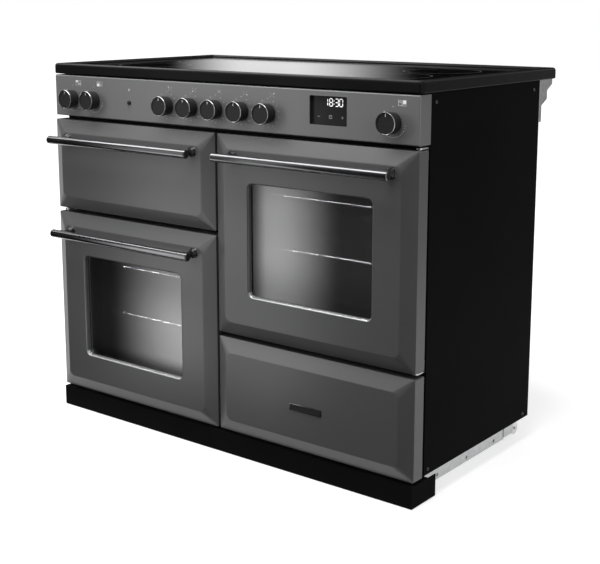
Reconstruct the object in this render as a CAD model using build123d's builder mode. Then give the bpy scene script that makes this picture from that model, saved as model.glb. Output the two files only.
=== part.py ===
from build123d import *
import os

# Induction range cooker with two ovens, a grill and a storage drawer. Sizes are in millimetres.
# X runs to the user's right, the fronts face -Y and Z is up. The origin lies on the floor under
# the middle of the outline. A depth is measured backwards from the face of the closed fronts.

# Fronts: two columns of pressed steel
door_width = 542.5
centre_gap = 7.0
door_bottom = 59.0
tall_height = 466.0
short_height = 228.0
stack_gap = 11.0
door_return = 34.0
door_gap = 7.0
skin_sheet = 2.0
fold_radius = 1.0
bevel_width = 32.0
bevel_rise = 15.0
plateau_radius = 18.0
plateau_fillet = 9.0

# Oven windows
window_width = 342.0
window_height = 266.0
window_drop = 2.0
window_radius = 16.0
reveal_depth = 10.0
reveal_taper = 4.0
glass_thickness = 4.0
glass_lap = 12.0
inner_window_inset = 12.0

# Door liners
liner_sheet = 2.0
liner_flange = 8.0
liner_fit = 0.3

# Door handles
bar_diameter = 20.0
bar_length = 472.0
bar_end_round = 3.0
bar_standoff = 43.0
bar_drop = 46.5
post_spread = 426.0
post_foot_diameter = 24.0
post_foot_height = 4.0
post_neck_diameter = 12.0
post_saddle_diameter = 18.0
saddle_gap = 0.2

# Upright hinges of the oven doors
hinge_inset = 11.0
hinge_depth = 18.0
pin_diameter = 8.0
pin_clearance = 0.35
pin_reach = 14.0
hinge_arm = 3.0
hinge_arm_gap = 2.0
hinge_arm_width = 15.0
hinge_foot = 24.0
bush_width = 13.0
bush_length = 22.0

# Drop hinge of the grill door
grill_axis_lift = 12.0
grill_axis_depth = 10.0
grill_pin_diameter = 6.0
ear_radius = 6.0
ear_thickness = 4.0
ear_clearance = 2.0
ear_inset = 70.0
ear_foot_width = 24.0
ear_foot_height = 34.0
lug_thickness = 4.0
notch_lip = 1.0

# Carcass
sheet = 1.5
seam_gap = 0.2
body_depth = 477.0
side_lift = 3.0
side_flange = 20.0
vent_slot_length = 70.0
vent_slot_height = 6.0
vent_slot_pitch = 16.0
vent_slot_rows = 6
vent_slot_lift = 60.0

# Vent duct on the back, stepped in three stages
duct_inset = 1.0
duct_low_depth = 13.0
duct_mid_depth = 40.0
duct_top_depth = 65.0
duct_low_height = 38.0
duct_slope = 14.0
duct_mid_height = 20.0
duct_top_height = 12.0
duct_slot_length = 60.0
duct_slot_height = 8.0
duct_slot_pitch = 100.0
duct_slot_count = 10

# Terminal box on the back
terminal_width = 130.0
terminal_height = 100.0
terminal_depth = 38.0
terminal_inset = 120.0
terminal_lift = 90.0
terminal_corner = 3.0
cable_inlet = 22.0

# Base: rails, rollers, feet and plinth
rail_inset = 38.0
rail_flange = 24.0
rail_sheet = 2.0
rail_bottom = 6.0
rail_front = 76.0
rail_rear = 470.0
rail_tongue = 74.0
rail_tongue_lift = 35.0
rail_hole_diameter = 9.0
rail_hole_lift = 10.0
rail_hole_offset = 84.0
rail_hole_pitch = 130.0
rail_hole_count = 3
roller_diameter = 32.0
roller_width = 12.0
roller_groove = 2.0
roller_flange = 4.0
roller_ear = 6.0
roller_play = 1.0
axle_diameter = 6.0
axle_clearance = 0.3
axle_setback = 60.0
foot_diameter = 36.0
foot_height = 8.0
foot_stem = 12.0
foot_inset = 110.0
foot_depth = 112.0
plinth_gap = 7.0
plinth_floor_gap = 2.0
plinth_proud = 5.0
plinth_return = 95.0
plinth_sheet = 2.0
plinth_shelf = 62.0
plinth_tab_width = 50.0
plinth_tab_spread = 640.0

# Hob
hob_gap = 3.0
hob_thickness = 26.0
hob_side_overhang = 4.0
hob_front_overhang = 1.0
hob_rear_overhang = 80.0
hob_corner = 10.0
hob_edge_round = 7.0
hob_under_round = 3.0
rim_width = 20.0
rim_chamfer = 4.0
glass_recess = 6.0
hob_glass_thickness = 5.0
hob_glass_gap = 1.0
hob_glass_corner = 5.0
hob_ledge = 14.0
tray_depth = 30.0
tray_flange = 12.0
tray_gap = 4.0
coil_height = 26.0
coil_diameter = 180.0
centre_coil_diameter = 230.0
coil_hub_diameter = 30.0
coil_spread = 360.0
coil_row_pitch = 215.0

# Control panel, its knobs, button and display
panel_gap = 10.0
panel_height = 102.0
panel_sheet = 2.0
panel_lip = 14.0
knob_pitch = 77.0
knob_end_inset = 65.0
knob_drop = 7.0
knob_diameter = 47.0
knob_base_diameter = 43.0
knob_length = 28.0
knob_chamfer = 1.2
knob_rim = 3.0
knob_dish = 1.2
knob_gap = 1.0
knob_bore_depth = 20.0
spindle_diameter = 6.0
spindle_clearance = 0.3
spindle_end_gap = 1.0
spindle_hole = 10.0
switch_size = 38.0
switch_depth = 26.0
button_diameter = 10.0
button_proud = 4.0
button_round = 2.0
button_clearance = 0.4
button_length = 14.0
button_travel = 2.5
button_switch_size = 18.0
display_width = 98.0
display_height = 62.0
display_lift = 7.5
display_corner = 3.0
display_recess = 6.0
display_depth = 24.0
display_frame = 4.0

# Oven and grill cavities
cavity_width = 440.0
cavity_radius = 22.0
cavity_flange = 14.0
oven_height = 370.0
oven_depth = 395.0
grill_height = 150.0
grill_depth = 380.0
seal_width = 9.0
seal_offset = 4.0
seal_gap = 0.4

# Oven racks and shelves
rack_wire = 5.0
rack_stud = 4.0
rack_offset = 5.0
rack_overrun = 8.0
weld = 0.8
rack_setback = 26.0
rack_length = 320.0
rung_lift = 86.0
rung_pitch = 62.0
rung_count = 4
rack_tail_length = 30.0
shelf_rail_diameter = 6.0
shelf_wire = 4.0
shelf_setback = 18.0
shelf_depth = 340.0
shelf_wire_count = 8
shelf_side_gap = 0.6
shelf_seat_gap = 0.2

# Oven fans
baffle_width = 300.0
baffle_height = 260.0
baffle_depth = 34.0
baffle_corner = 24.0
baffle_slot_ring = 48.0
baffle_slot_length = 44.0
baffle_slot_width = 7.0
baffle_slot_count = 12
baffle_vent_height = 180.0
baffle_vent_width = 12.0
fan_diameter = 150.0
fan_depth = 16.0
fan_hub_diameter = 26.0
fan_blade_count = 9
fan_blade_length = 46.0
fan_blade_sheet = 2.0
fan_blade_angle = 18.0
fan_wall_gap = 8.0
fan_shaft_diameter = 8.0
fan_shaft_clearance = 0.35
fan_shaft_reach = 30.0
motor_diameter = 90.0
motor_length = 48.0
shaft_hole = 14.0

# Grill element, pan and trivet
element_diameter = 7.0
element_drop = 22.0
element_pitch = 56.0
element_runs = 6
element_front_gap = 50.0
element_straight = 4.0
pan_side_gap = 20.0
pan_length = 320.0
pan_height = 38.0
pan_corner = 20.0
pan_rim = 8.0
pan_setback = 24.0
pan_sheet = 2.0
trivet_inset = 14.0
trivet_wire = 4.0
trivet_leg = 3.0
trivet_seat_gap = 0.2
trivet_lift = 26.0
trivet_wire_count = 7

# Storage drawer
drawer_box_width = 430.0
drawer_box_height = 140.0
drawer_box_depth = 415.0
drawer_box_lift = 26.0
drawer_lip = 12.0
drawer_opening_gap = 4.0
runner_gap = 0.3
runner_sheet = 2.0

# Places that follow from the sizes above
body_width = 2 * door_width + centre_gap
half_width = body_width / 2
column_x = (door_width + centre_gap) / 2
grill_bottom = door_bottom + tall_height + stack_gap
right_oven_bottom = door_bottom + short_height + stack_gap
door_top = grill_bottom + short_height
panel_bottom = door_top + panel_gap
panel_top = panel_bottom + panel_height
hob_bottom = panel_top + hob_gap
hob_top = hob_bottom + hob_thickness
side_bottom = door_bottom + side_lift
plinth_top = door_bottom - plinth_gap
side_front = door_return + door_gap
frame_front = side_front + sheet
cavity_front = frame_front + sheet
body_rear = side_front + body_depth
back_face = body_rear + sheet
hob_rear = body_rear + hob_rear_overhang
bar_depth = bevel_rise + bar_standoff
front_y = (bar_depth + bar_diameter / 2 - hob_rear) / 2
edge_radius = fold_radius + skin_sheet
left_oven_floor = door_bottom + (tall_height - oven_height) / 2
right_oven_floor = right_oven_bottom + (tall_height - oven_height) / 2
grill_floor = grill_bottom + (short_height - grill_height) / 2
knob_z = panel_bottom + panel_height / 2 - knob_drop
left_pin_x = -half_width + hinge_inset
right_pin_x = half_width - hinge_inset
ovens = [(-column_x, left_oven_floor), (column_x, right_oven_floor)]

os.makedirs("parts", exist_ok=True)


def front_plane(depth, x=0.0, z=0.0):
    """Upright plane that faces the user, with its x to the right and its y up."""
    return Plane(origin=(x, front_y + depth, z), x_dir=(1, 0, 0), z_dir=(0, -1, 0))


def level_plane(z, x=0.0, depth=0.0):
    """Level plane, with its x to the right and its y backwards."""
    return Plane(origin=(x, front_y + depth, z), x_dir=(1, 0, 0), z_dir=(0, 0, 1))


def side_plane(x, depth=0.0, z=0.0):
    """Upright plane across the width, with its x backwards and its y up."""
    return Plane(origin=(x, front_y + depth, z), x_dir=(0, 1, 0), z_dir=(1, 0, 0))


def turning_plane(depth, x, z):
    """Plane of a turned profile, with the radius along its x and forwards along its y."""
    return Plane(origin=(x, front_y + depth, z), x_dir=(1, 0, 0), z_dir=(0, 0, -1))


def turning_axis(x, z):
    """Front to back axis of a turned piece."""
    return Axis((x, front_y, z), (0, -1, 0))


def save(piece, name):
    """Label a finished piece and write it to its own file."""
    piece.part.label = name
    export_step(piece.part, f"parts/{name}.step")


# Carcass: side panels, front frame, base tray and rear panel

def side_panel(name, side):
    """Folded sheet with a flange turned in along its front and its rear edge."""
    lip = -side * side_flange
    wall = -side * sheet
    with BuildPart() as panel:
        with BuildSketch(level_plane(side_bottom, side * half_width, side_front)):
            with BuildLine():
                Polyline(
                    (0, 0),
                    (lip, 0),
                    (lip, sheet),
                    (wall, sheet),
                    (wall, body_depth - sheet),
                    (lip, body_depth - sheet),
                    (lip, body_depth),
                    (0, body_depth),
                    close=True,
                )
            make_face()
        extrude(amount=hob_bottom - side_bottom)
    save(panel, name)


side_panel("left_side_panel", -1)
side_panel("right_side_panel", 1)

inner_width = body_width - 2 * sheet
frame_bottom = side_bottom + sheet
drawer_opening_width = drawer_box_width + 2 * (drawer_lip + drawer_opening_gap)
drawer_opening_height = drawer_box_height + 2 * drawer_opening_gap
drawer_floor = door_bottom + drawer_box_lift
drawer_middle = drawer_floor + drawer_box_height / 2

drawer_mouth_bottom = drawer_middle - drawer_opening_height / 2
drawer_mouth_top = drawer_middle + drawer_opening_height / 2
frame_edge = inner_width / 2


def frame_bar(left, right, bottom, top):
    """Flat bar of the front frame, a seam short of its neighbours on every side."""
    with Locations(((left + right) / 2, (bottom + top) / 2)):
        Rectangle(right - left - seam_gap, top - bottom - seam_gap)


def frame_column(outer, inner, mouth, openings, bottom, top):
    """Two uprights beside a mouth and the cross bars under, between and over its openings."""
    mouth_left, mouth_right = mouth
    frame_bar(outer, mouth_left, bottom, top)
    frame_bar(mouth_right, inner, bottom, top)
    bar_bottom = bottom
    for opening_bottom, opening_top in openings:
        frame_bar(mouth_left, mouth_right, bar_bottom, opening_bottom)
        bar_bottom = opening_top
    if bar_bottom < top:
        frame_bar(mouth_left, mouth_right, bar_bottom, top)


with BuildPart() as front_frame:
    with BuildSketch(front_plane(frame_front)):
        oven_mouth = (-column_x - cavity_width / 2, -column_x + cavity_width / 2)
        oven_opening = (left_oven_floor, left_oven_floor + oven_height)
        grill_opening = (grill_floor, grill_floor + grill_height)
        frame_column(-frame_edge, 0, oven_mouth, (oven_opening, grill_opening), frame_bottom, hob_bottom)
        oven_mouth = (column_x - cavity_width / 2, column_x + cavity_width / 2)
        oven_opening = (right_oven_floor, right_oven_floor + oven_height)
        frame_column(0, frame_edge, oven_mouth, (oven_opening,), drawer_mouth_top, hob_bottom)
        drawer_mouth = (column_x - drawer_opening_width / 2, column_x + drawer_opening_width / 2)
        drawer_opening = (drawer_mouth_bottom, drawer_mouth_top)
        frame_column(0, frame_edge, drawer_mouth, (drawer_opening,), frame_bottom, drawer_mouth_top)
    extrude(amount=-sheet)
save(front_frame, "front_frame")

with BuildPart() as base_tray:
    with BuildSketch(level_plane(side_bottom, 0, frame_front)):
        with Locations((0, (body_depth - 2 * sheet) / 2)):
            Rectangle(inner_width, body_depth - 2 * sheet)
    extrude(amount=sheet)
    with BuildSketch(level_plane(side_bottom, 0, body_rear - 2 * sheet)):
        with Locations((0, sheet / 2)):
            Rectangle(inner_width - 2 * side_flange, sheet)
    extrude(amount=side_flange)
save(base_tray, "base_tray")

with BuildPart() as rear_panel:
    with BuildSketch(front_plane(body_rear)):
        with Locations((0, (side_bottom + hob_bottom) / 2)):
            Rectangle(body_width, hob_bottom - side_bottom)
        for x, floor in ovens:
            with Locations((x, floor + vent_slot_lift)):
                with GridLocations(vent_slot_length + vent_slot_pitch, vent_slot_pitch, 2, vent_slot_rows):
                    Rectangle(vent_slot_length, vent_slot_height, mode=Mode.SUBTRACT)
    extrude(amount=-sheet)
save(rear_panel, "rear_panel")

# Vent duct that carries the cooling air out under the overhang of the hob
duct_height = duct_low_height + 2 * duct_slope + duct_mid_height + duct_top_height
duct_mid_bottom = duct_low_height + duct_slope
duct_mid_top = duct_mid_bottom + duct_mid_height

with BuildPart() as rear_vent_duct:
    with BuildSketch(side_plane(0, back_face, hob_bottom - duct_height)):
        with BuildLine():
            Polyline(
                (0, 0),
                (duct_low_depth, 0),
                (duct_low_depth, duct_low_height),
                (duct_mid_depth, duct_mid_bottom),
                (duct_mid_depth, duct_mid_top),
                (duct_top_depth, duct_height - duct_top_height),
                (duct_top_depth, duct_height),
                (0, duct_height),
                close=True,
            )
        make_face()
    extrude(amount=half_width - duct_inset, both=True)
    offset(amount=-sheet, openings=rear_vent_duct.faces().sort_by(Axis.Y)[0], kind=Kind.INTERSECTION)
    with BuildSketch(front_plane(back_face + duct_mid_depth, 0, hob_bottom - duct_height)):
        with Locations((0, (duct_mid_bottom + duct_mid_top) / 2)):
            with GridLocations(duct_slot_pitch, duct_slot_height, duct_slot_count, 1):
                Rectangle(duct_slot_length, duct_slot_height)
    extrude(amount=sheet, mode=Mode.SUBTRACT)
save(rear_vent_duct, "rear_vent_duct")

# Cover over the mains terminals, with the round inlet for the supply cable in its underside
with BuildPart() as terminal_box:
    with BuildSketch(front_plane(back_face, half_width - terminal_inset, side_bottom + terminal_lift)):
        RectangleRounded(terminal_width, terminal_height, terminal_corner)
    extrude(amount=-terminal_depth)
    offset(amount=-sheet, openings=terminal_box.faces().sort_by(Axis.Y)[0], kind=Kind.INTERSECTION)
    inlet_z = side_bottom + terminal_lift - terminal_height / 2
    with BuildSketch(level_plane(inlet_z, half_width - terminal_inset, back_face + terminal_depth / 2)):
        Circle(cable_inlet / 2)
    extrude(amount=sheet, mode=Mode.SUBTRACT)
save(terminal_box, "terminal_box")

# Base: channels under the tray with a roller at the rear, screw feet at the front, plinth ahead
rail_height = side_bottom - rail_bottom
roller_radius = roller_diameter / 2
axle_depth = rail_rear + axle_setback
roller_outer = half_width - rail_inset - rail_sheet
axle_length = roller_width + 2 * roller_play + rail_sheet

with BuildPart() as base_rails:
    for side in (-1, 1):
        web_x = side * (half_width - rail_inset)
        wall = -side * rail_sheet
        lip = -side * rail_flange
        with BuildSketch(level_plane(rail_bottom, web_x, rail_front)):
            with Locations((wall / 2, (rail_rear - rail_front) / 2)):
                Rectangle(rail_sheet, rail_rear - rail_front)
        extrude(amount=rail_height)
        for z in (rail_bottom, side_bottom - rail_sheet):
            with BuildSketch(level_plane(z, web_x, rail_front)):
                with Locations((lip / 2, (rail_rear - rail_front) / 2)):
                    Rectangle(rail_flange, rail_rear - rail_front)
            extrude(amount=rail_sheet)
        with BuildSketch(level_plane(side_bottom - rail_sheet, web_x, rail_rear)):
            with Locations((lip / 2, rail_tongue / 2)):
                Rectangle(rail_flange, rail_tongue)
        extrude(amount=rail_sheet)
        with BuildSketch(side_plane(web_x, rail_rear, rail_tongue_lift)):
            with Locations((rail_tongue / 2, (side_bottom - rail_tongue_lift) / 2)):
                Rectangle(rail_tongue, side_bottom - rail_tongue_lift)
        extrude(amount=wall)
        ear_x = side * (roller_outer - roller_width - roller_play)
        with BuildSketch(side_plane(ear_x, axle_depth, roller_radius)):
            Circle(roller_ear)
            with Locations((0, (side_bottom - roller_radius) / 2)):
                Rectangle(2 * roller_ear, side_bottom - roller_radius)
        extrude(amount=wall)
        with BuildSketch(side_plane(ear_x, axle_depth, roller_radius)):
            Circle(axle_diameter / 2)
        extrude(amount=side * axle_length)
        with BuildSketch(side_plane(web_x, rail_front, rail_bottom)):
            for index in range(rail_hole_count):
                with Locations((rail_hole_offset + index * rail_hole_pitch, rail_hole_lift)):
                    Circle(rail_hole_diameter / 2)
        extrude(amount=wall, mode=Mode.SUBTRACT)
save(base_rails, "base_rails")


def roller(name, side):
    """Grooved wheel that turns on the axle riveted to its rail."""
    bore = axle_diameter / 2 + axle_clearance
    inner_x = side * (roller_outer - roller_width)
    with BuildPart() as wheel:
        with BuildSketch(side_plane(inner_x, axle_depth, roller_radius)):
            Circle(roller_radius)
            Circle(bore, mode=Mode.SUBTRACT)
        extrude(amount=side * roller_width)
        with BuildSketch(side_plane(inner_x + side * roller_flange, axle_depth, roller_radius)):
            Circle(roller_radius)
            Circle(roller_radius - roller_groove, mode=Mode.SUBTRACT)
        extrude(amount=side * (roller_width - 2 * roller_flange), mode=Mode.SUBTRACT)
    save(wheel, name)


roller("left_roller", -1)
roller("right_roller", 1)

with BuildPart() as levelling_feet:
    for side in (-1, 1):
        foot_x = side * (half_width - foot_inset)
        foot_profile = Plane(origin=(foot_x, front_y + foot_depth, 0), x_dir=(1, 0, 0), z_dir=(0, -1, 0))
        with BuildSketch(foot_profile):
            with BuildLine():
                Polyline(
                    (0, 0),
                    (foot_diameter / 2, 0),
                    (foot_diameter / 2, foot_height / 2),
                    (foot_stem / 2, foot_height),
                    (foot_stem / 2, side_bottom),
                    (0, side_bottom),
                    close=True,
                )
            make_face()
        revolve(axis=Axis(foot_profile.origin, (0, 0, 1)))
save(levelling_feet, "levelling_feet")

# Plinth: a folded front with side returns, hung by two tabs from the base tray
plinth_depth = plinth_return - plinth_proud

with BuildPart() as plinth:
    with BuildSketch(level_plane(plinth_floor_gap)):
        with Locations((0, plinth_depth - plinth_return / 2)):
            Rectangle(body_width, plinth_return)
        with Locations((0, plinth_depth - (plinth_return - plinth_sheet) / 2)):
            Rectangle(body_width - 2 * plinth_sheet, plinth_return - plinth_sheet, mode=Mode.SUBTRACT)
    extrude(amount=plinth_top - plinth_floor_gap)
    with BuildSketch(level_plane(plinth_top - plinth_sheet)):
        with Locations((0, plinth_shelf - (plinth_shelf + plinth_proud) / 2)):
            Rectangle(body_width, plinth_shelf + plinth_proud)
    extrude(amount=plinth_sheet)
    with BuildSketch(level_plane(plinth_top)):
        with Locations((0, plinth_shelf - plinth_sheet / 2)):
            with GridLocations(plinth_tab_spread, plinth_sheet, 2, 1):
                Rectangle(plinth_tab_width, plinth_sheet)
    extrude(amount=side_bottom - plinth_top)
save(plinth, "plinth")

# Hob: enamelled frame with a raised rim, glass sunk inside it, coils in a tray underneath
hob_width = body_width + 2 * hob_side_overhang
hob_depth = hob_rear + hob_front_overhang
hob_middle = (hob_rear - hob_front_overhang) / 2
glass_top = hob_top - glass_recess
glass_bottom = glass_top - hob_glass_thickness
pocket_width = hob_width - 2 * rim_width
pocket_depth = hob_depth - 2 * rim_width
tray_length = body_rear - sheet - cavity_front - 2 * (tray_gap + tray_flange)
tray_middle = (body_rear - sheet + cavity_front) / 2
tray_width = pocket_width - 2 * hob_ledge

with BuildPart() as hob_frame:
    with BuildSketch(level_plane(hob_bottom, 0, hob_middle)):
        RectangleRounded(hob_width, hob_depth, hob_corner)
    extrude(amount=hob_thickness)
    fillet(hob_frame.faces().sort_by(Axis.Z)[-1].edges(), hob_edge_round)
    fillet(hob_frame.faces().sort_by(Axis.Z)[0].edges(), hob_under_round)
    with BuildSketch(level_plane(glass_bottom, 0, hob_middle)):
        RectangleRounded(pocket_width, pocket_depth, hob_glass_corner)
    extrude(amount=hob_top - glass_bottom, mode=Mode.SUBTRACT)
    chamfer(hob_frame.faces().sort_by(Axis.Z)[-1].inner_wires()[0].edges(), rim_chamfer)
    with BuildSketch(level_plane(hob_bottom, 0, tray_middle)):
        Rectangle(tray_width, tray_length)
    extrude(amount=hob_thickness, mode=Mode.SUBTRACT)
save(hob_frame, "hob_frame")

with BuildPart() as hob_glass:
    with BuildSketch(level_plane(glass_bottom, 0, hob_middle)):
        RectangleRounded(pocket_width - 2 * hob_glass_gap, pocket_depth - 2 * hob_glass_gap, hob_glass_corner)
    extrude(amount=hob_glass_thickness)
    chamfer(hob_glass.faces().sort_by(Axis.Z)[-1].edges(), hob_glass_gap / 2)
save(hob_glass, "hob_glass")

with BuildPart() as hob_tray:
    with BuildSketch(level_plane(hob_bottom - sheet, 0, tray_middle)):
        Rectangle(tray_width + 2 * tray_flange, tray_length + 2 * tray_flange)
    extrude(amount=sheet)
    with BuildSketch(level_plane(hob_bottom - tray_depth, 0, tray_middle)):
        Rectangle(tray_width, tray_length)
    extrude(amount=tray_depth)
    with BuildSketch(level_plane(hob_bottom - tray_depth + sheet, 0, tray_middle)):
        Rectangle(tray_width - 2 * sheet, tray_length - 2 * sheet)
    extrude(amount=tray_depth, mode=Mode.SUBTRACT)
save(hob_tray, "hob_tray")

with BuildPart() as induction_coils:
    with BuildSketch(level_plane(hob_bottom - tray_depth + sheet, 0, tray_middle)):
        Circle(centre_coil_diameter / 2)
        with GridLocations(2 * coil_spread, coil_row_pitch, 2, 2):
            Circle(coil_diameter / 2)
        Circle(coil_hub_diameter / 2, mode=Mode.SUBTRACT)
        with GridLocations(2 * coil_spread, coil_row_pitch, 2, 2):
            Circle(coil_hub_diameter / 2, mode=Mode.SUBTRACT)
    extrude(amount=coil_height)
save(induction_coils, "induction_coils")

# Control panel: a folded tray with the display window and the holes of the spindles and the button
right_knob_x = half_width - knob_end_inset
second_knob_x = knob_pitch - right_knob_x
first_hob_knob_x = -2 * knob_pitch
button_x = (second_knob_x + first_hob_knob_x) / 2
display_x = (right_knob_x - first_hob_knob_x) / 2
display_z = panel_bottom + panel_height / 2 + display_lift
knobs = [
    ("grill_knob", -right_knob_x),
    ("left_oven_knob", second_knob_x),
    ("hob_knob_rear_left", first_hob_knob_x),
    ("hob_knob_front_left", -knob_pitch),
    ("hob_knob_centre", 0.0),
    ("hob_knob_front_right", knob_pitch),
    ("hob_knob_rear_right", -first_hob_knob_x),
    ("right_oven_knob", right_knob_x),
]
button_bore = button_diameter / 2 + button_clearance

with BuildPart() as control_panel:
    with BuildSketch(front_plane(0, 0, panel_bottom + panel_height / 2)):
        Rectangle(body_width, panel_height)
    extrude(amount=-side_front)
    fillet(control_panel.faces().sort_by(Axis.Y)[0].edges(), edge_radius)
    with BuildSketch(front_plane(panel_sheet, 0, panel_bottom + panel_height / 2)):
        Rectangle(body_width - 2 * panel_sheet, panel_height - 2 * panel_sheet)
    extrude(amount=-side_front, mode=Mode.SUBTRACT)
    with BuildSketch(front_plane(panel_lip, 0, panel_bottom + panel_height / 2)):
        Rectangle(body_width - 2 * panel_sheet, panel_height)
    extrude(amount=-side_front, mode=Mode.SUBTRACT)
    with BuildSketch(front_plane(0)):
        with Locations(*[(x, knob_z) for name, x in knobs]):
            Circle(spindle_hole / 2)
        with Locations((button_x, knob_z)):
            Circle(button_bore)
        with Locations((display_x, display_z)):
            RectangleRounded(display_width, display_height, display_corner)
    extrude(amount=-panel_sheet, mode=Mode.SUBTRACT)
save(control_panel, "control_panel")

with BuildPart() as display_module:
    with BuildSketch(front_plane(panel_sheet, display_x, display_z)):
        frame_width = display_width + 2 * display_frame
        frame_height = display_height + 2 * display_frame
        RectangleRounded(frame_width, frame_height, display_corner)
    extrude(amount=-display_depth)
    with BuildSketch(front_plane(panel_sheet, display_x, display_z)):
        RectangleRounded(display_width, display_height, display_corner)
    extrude(amount=-display_recess, mode=Mode.SUBTRACT)
save(display_module, "display_module")

# Switches behind the panel: one for each knob with a round spindle, and a push switch for the button
spindle_tip = knob_gap + knob_bore_depth - spindle_end_gap
button_stem_end = button_length - button_proud
push_switch_depth = button_stem_end + button_travel + sheet - panel_sheet

with BuildPart() as control_switches:
    with BuildSketch(front_plane(panel_sheet)):
        with Locations(*[(x, knob_z) for name, x in knobs]):
            RectangleRounded(switch_size, switch_size, spindle_diameter)
    extrude(amount=-switch_depth)
    with BuildSketch(front_plane(panel_sheet)):
        with Locations(*[(x, knob_z) for name, x in knobs]):
            Circle(spindle_diameter / 2)
    extrude(amount=panel_sheet + spindle_tip)
    with BuildSketch(front_plane(panel_sheet, button_x, knob_z)):
        Rectangle(button_switch_size, button_switch_size)
    extrude(amount=-push_switch_depth)
    with BuildSketch(front_plane(panel_sheet, button_x, knob_z)):
        Circle(button_bore)
    extrude(amount=sheet - push_switch_depth, mode=Mode.SUBTRACT)
save(control_switches, "control_switches")

with BuildPart() as light_button:
    with BuildSketch(front_plane(button_stem_end, button_x, knob_z)):
        Circle(button_diameter / 2)
    extrude(amount=button_length)
    fillet(light_button.faces().sort_by(Axis.Y)[0].edges(), button_round)
save(light_button, "light_button")


def knob(name, x):
    """Turned knob that widens a little towards its dished face, bored for the spindle."""
    bore = spindle_diameter / 2 + spindle_clearance
    face = knob_diameter / 2
    with BuildPart() as barrel:
        with BuildSketch(turning_plane(-knob_gap, x, knob_z)):
            with BuildLine():
                Polyline(
                    (bore, 0),
                    (knob_base_diameter / 2, 0),
                    (face, knob_length - knob_chamfer),
                    (face - knob_chamfer, knob_length),
                    (face - knob_rim, knob_length),
                    (face - knob_rim, knob_length - knob_dish),
                    (0, knob_length - knob_dish),
                    (0, knob_bore_depth),
                    (bore, knob_bore_depth),
                    close=True,
                )
            make_face()
        revolve(axis=turning_axis(x, knob_z))
    save(barrel, name)


for knob_name, knob_x in knobs:
    knob(knob_name, knob_x)

# Cavities: enamelled boxes behind the openings of the front frame


def cavity(name, x, floor, height, depth, vented):
    """Open box with rounded corners, a flange against the front frame and a shaft hole in its back."""
    centre = floor + height / 2
    with BuildPart() as box:
        with BuildSketch(front_plane(cavity_front, x, centre)):
            RectangleRounded(cavity_width + 2 * sheet, height + 2 * sheet, cavity_radius + sheet)
        extrude(amount=-(depth + sheet))
        with BuildSketch(front_plane(cavity_front, x, centre)):
            RectangleRounded(
                cavity_width + 2 * cavity_flange, height + 2 * cavity_flange, cavity_radius + cavity_flange
            )
        extrude(amount=-sheet)
        with BuildSketch(front_plane(cavity_front, x, centre)):
            RectangleRounded(cavity_width, height, cavity_radius)
        extrude(amount=-depth, mode=Mode.SUBTRACT)
        if vented:
            with BuildSketch(front_plane(cavity_front + depth, x, centre)):
                Circle(shaft_hole / 2)
            extrude(amount=-sheet, mode=Mode.SUBTRACT)
    save(box, name)


cavity("left_oven_cavity", -column_x, left_oven_floor, oven_height, oven_depth, True)
cavity("right_oven_cavity", column_x, right_oven_floor, oven_height, oven_depth, True)
cavity("grill_cavity", -column_x, grill_floor, grill_height, grill_depth, False)

with BuildPart() as oven_door_seals:
    seal_inner = seal_offset + seal_width
    with BuildSketch(front_plane(frame_front)):
        with Locations(*[(x, floor + oven_height / 2) for x, floor in ovens]):
            RectangleRounded(
                cavity_width + 2 * seal_inner,
                oven_height + 2 * seal_inner,
                cavity_radius + seal_inner,
            )
            RectangleRounded(
                cavity_width + 2 * seal_offset,
                oven_height + 2 * seal_offset,
                cavity_radius + seal_offset,
                mode=Mode.SUBTRACT,
            )
    extrude(amount=frame_front - door_return - seal_gap)
save(oven_door_seals, "oven_door_seals")

# Wire ladders on the cavity walls and the welded shelves that rest on their rungs
rack_x = cavity_width / 2 - rack_offset
rung_x = rack_x - rack_wire + weld
shelf_x = rack_x - rack_wire / 2 - shelf_side_gap - shelf_rail_diameter / 2
rack_front = cavity_front + rack_setback
rack_height = 2 * rack_tail_length + (rung_count - 1) * rung_pitch
shelf_front = cavity_front + shelf_setback
shelf_rungs = [rung_lift + index * rung_pitch for index in (1, rung_count - 1)]

with BuildPart() as oven_side_racks:
    for x, floor in ovens:
        foot_z = floor + rung_lift - rack_tail_length
        for side in (-1, 1):
            with BuildSketch(level_plane(foot_z, x + side * rack_x, rack_front)):
                with Locations((0, 0), (0, rack_length)):
                    Circle(rack_wire / 2)
            extrude(amount=rack_height)
            with BuildSketch(front_plane(rack_front - rack_overrun, x + side * rung_x, floor + rung_lift)):
                for index in range(rung_count):
                    with Locations((0, index * rung_pitch)):
                        Circle(rack_wire / 2)
            extrude(amount=-(rack_length + 2 * rack_overrun))
            with BuildSketch(side_plane(x + side * rack_x, rack_front, foot_z)):
                for stud_z in (rack_stud, rack_height - rack_stud):
                    with Locations((0, stud_z), (rack_length, stud_z)):
                        Circle(rack_stud / 2)
            extrude(amount=side * rack_offset)
save(oven_side_racks, "oven_side_racks")

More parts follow.
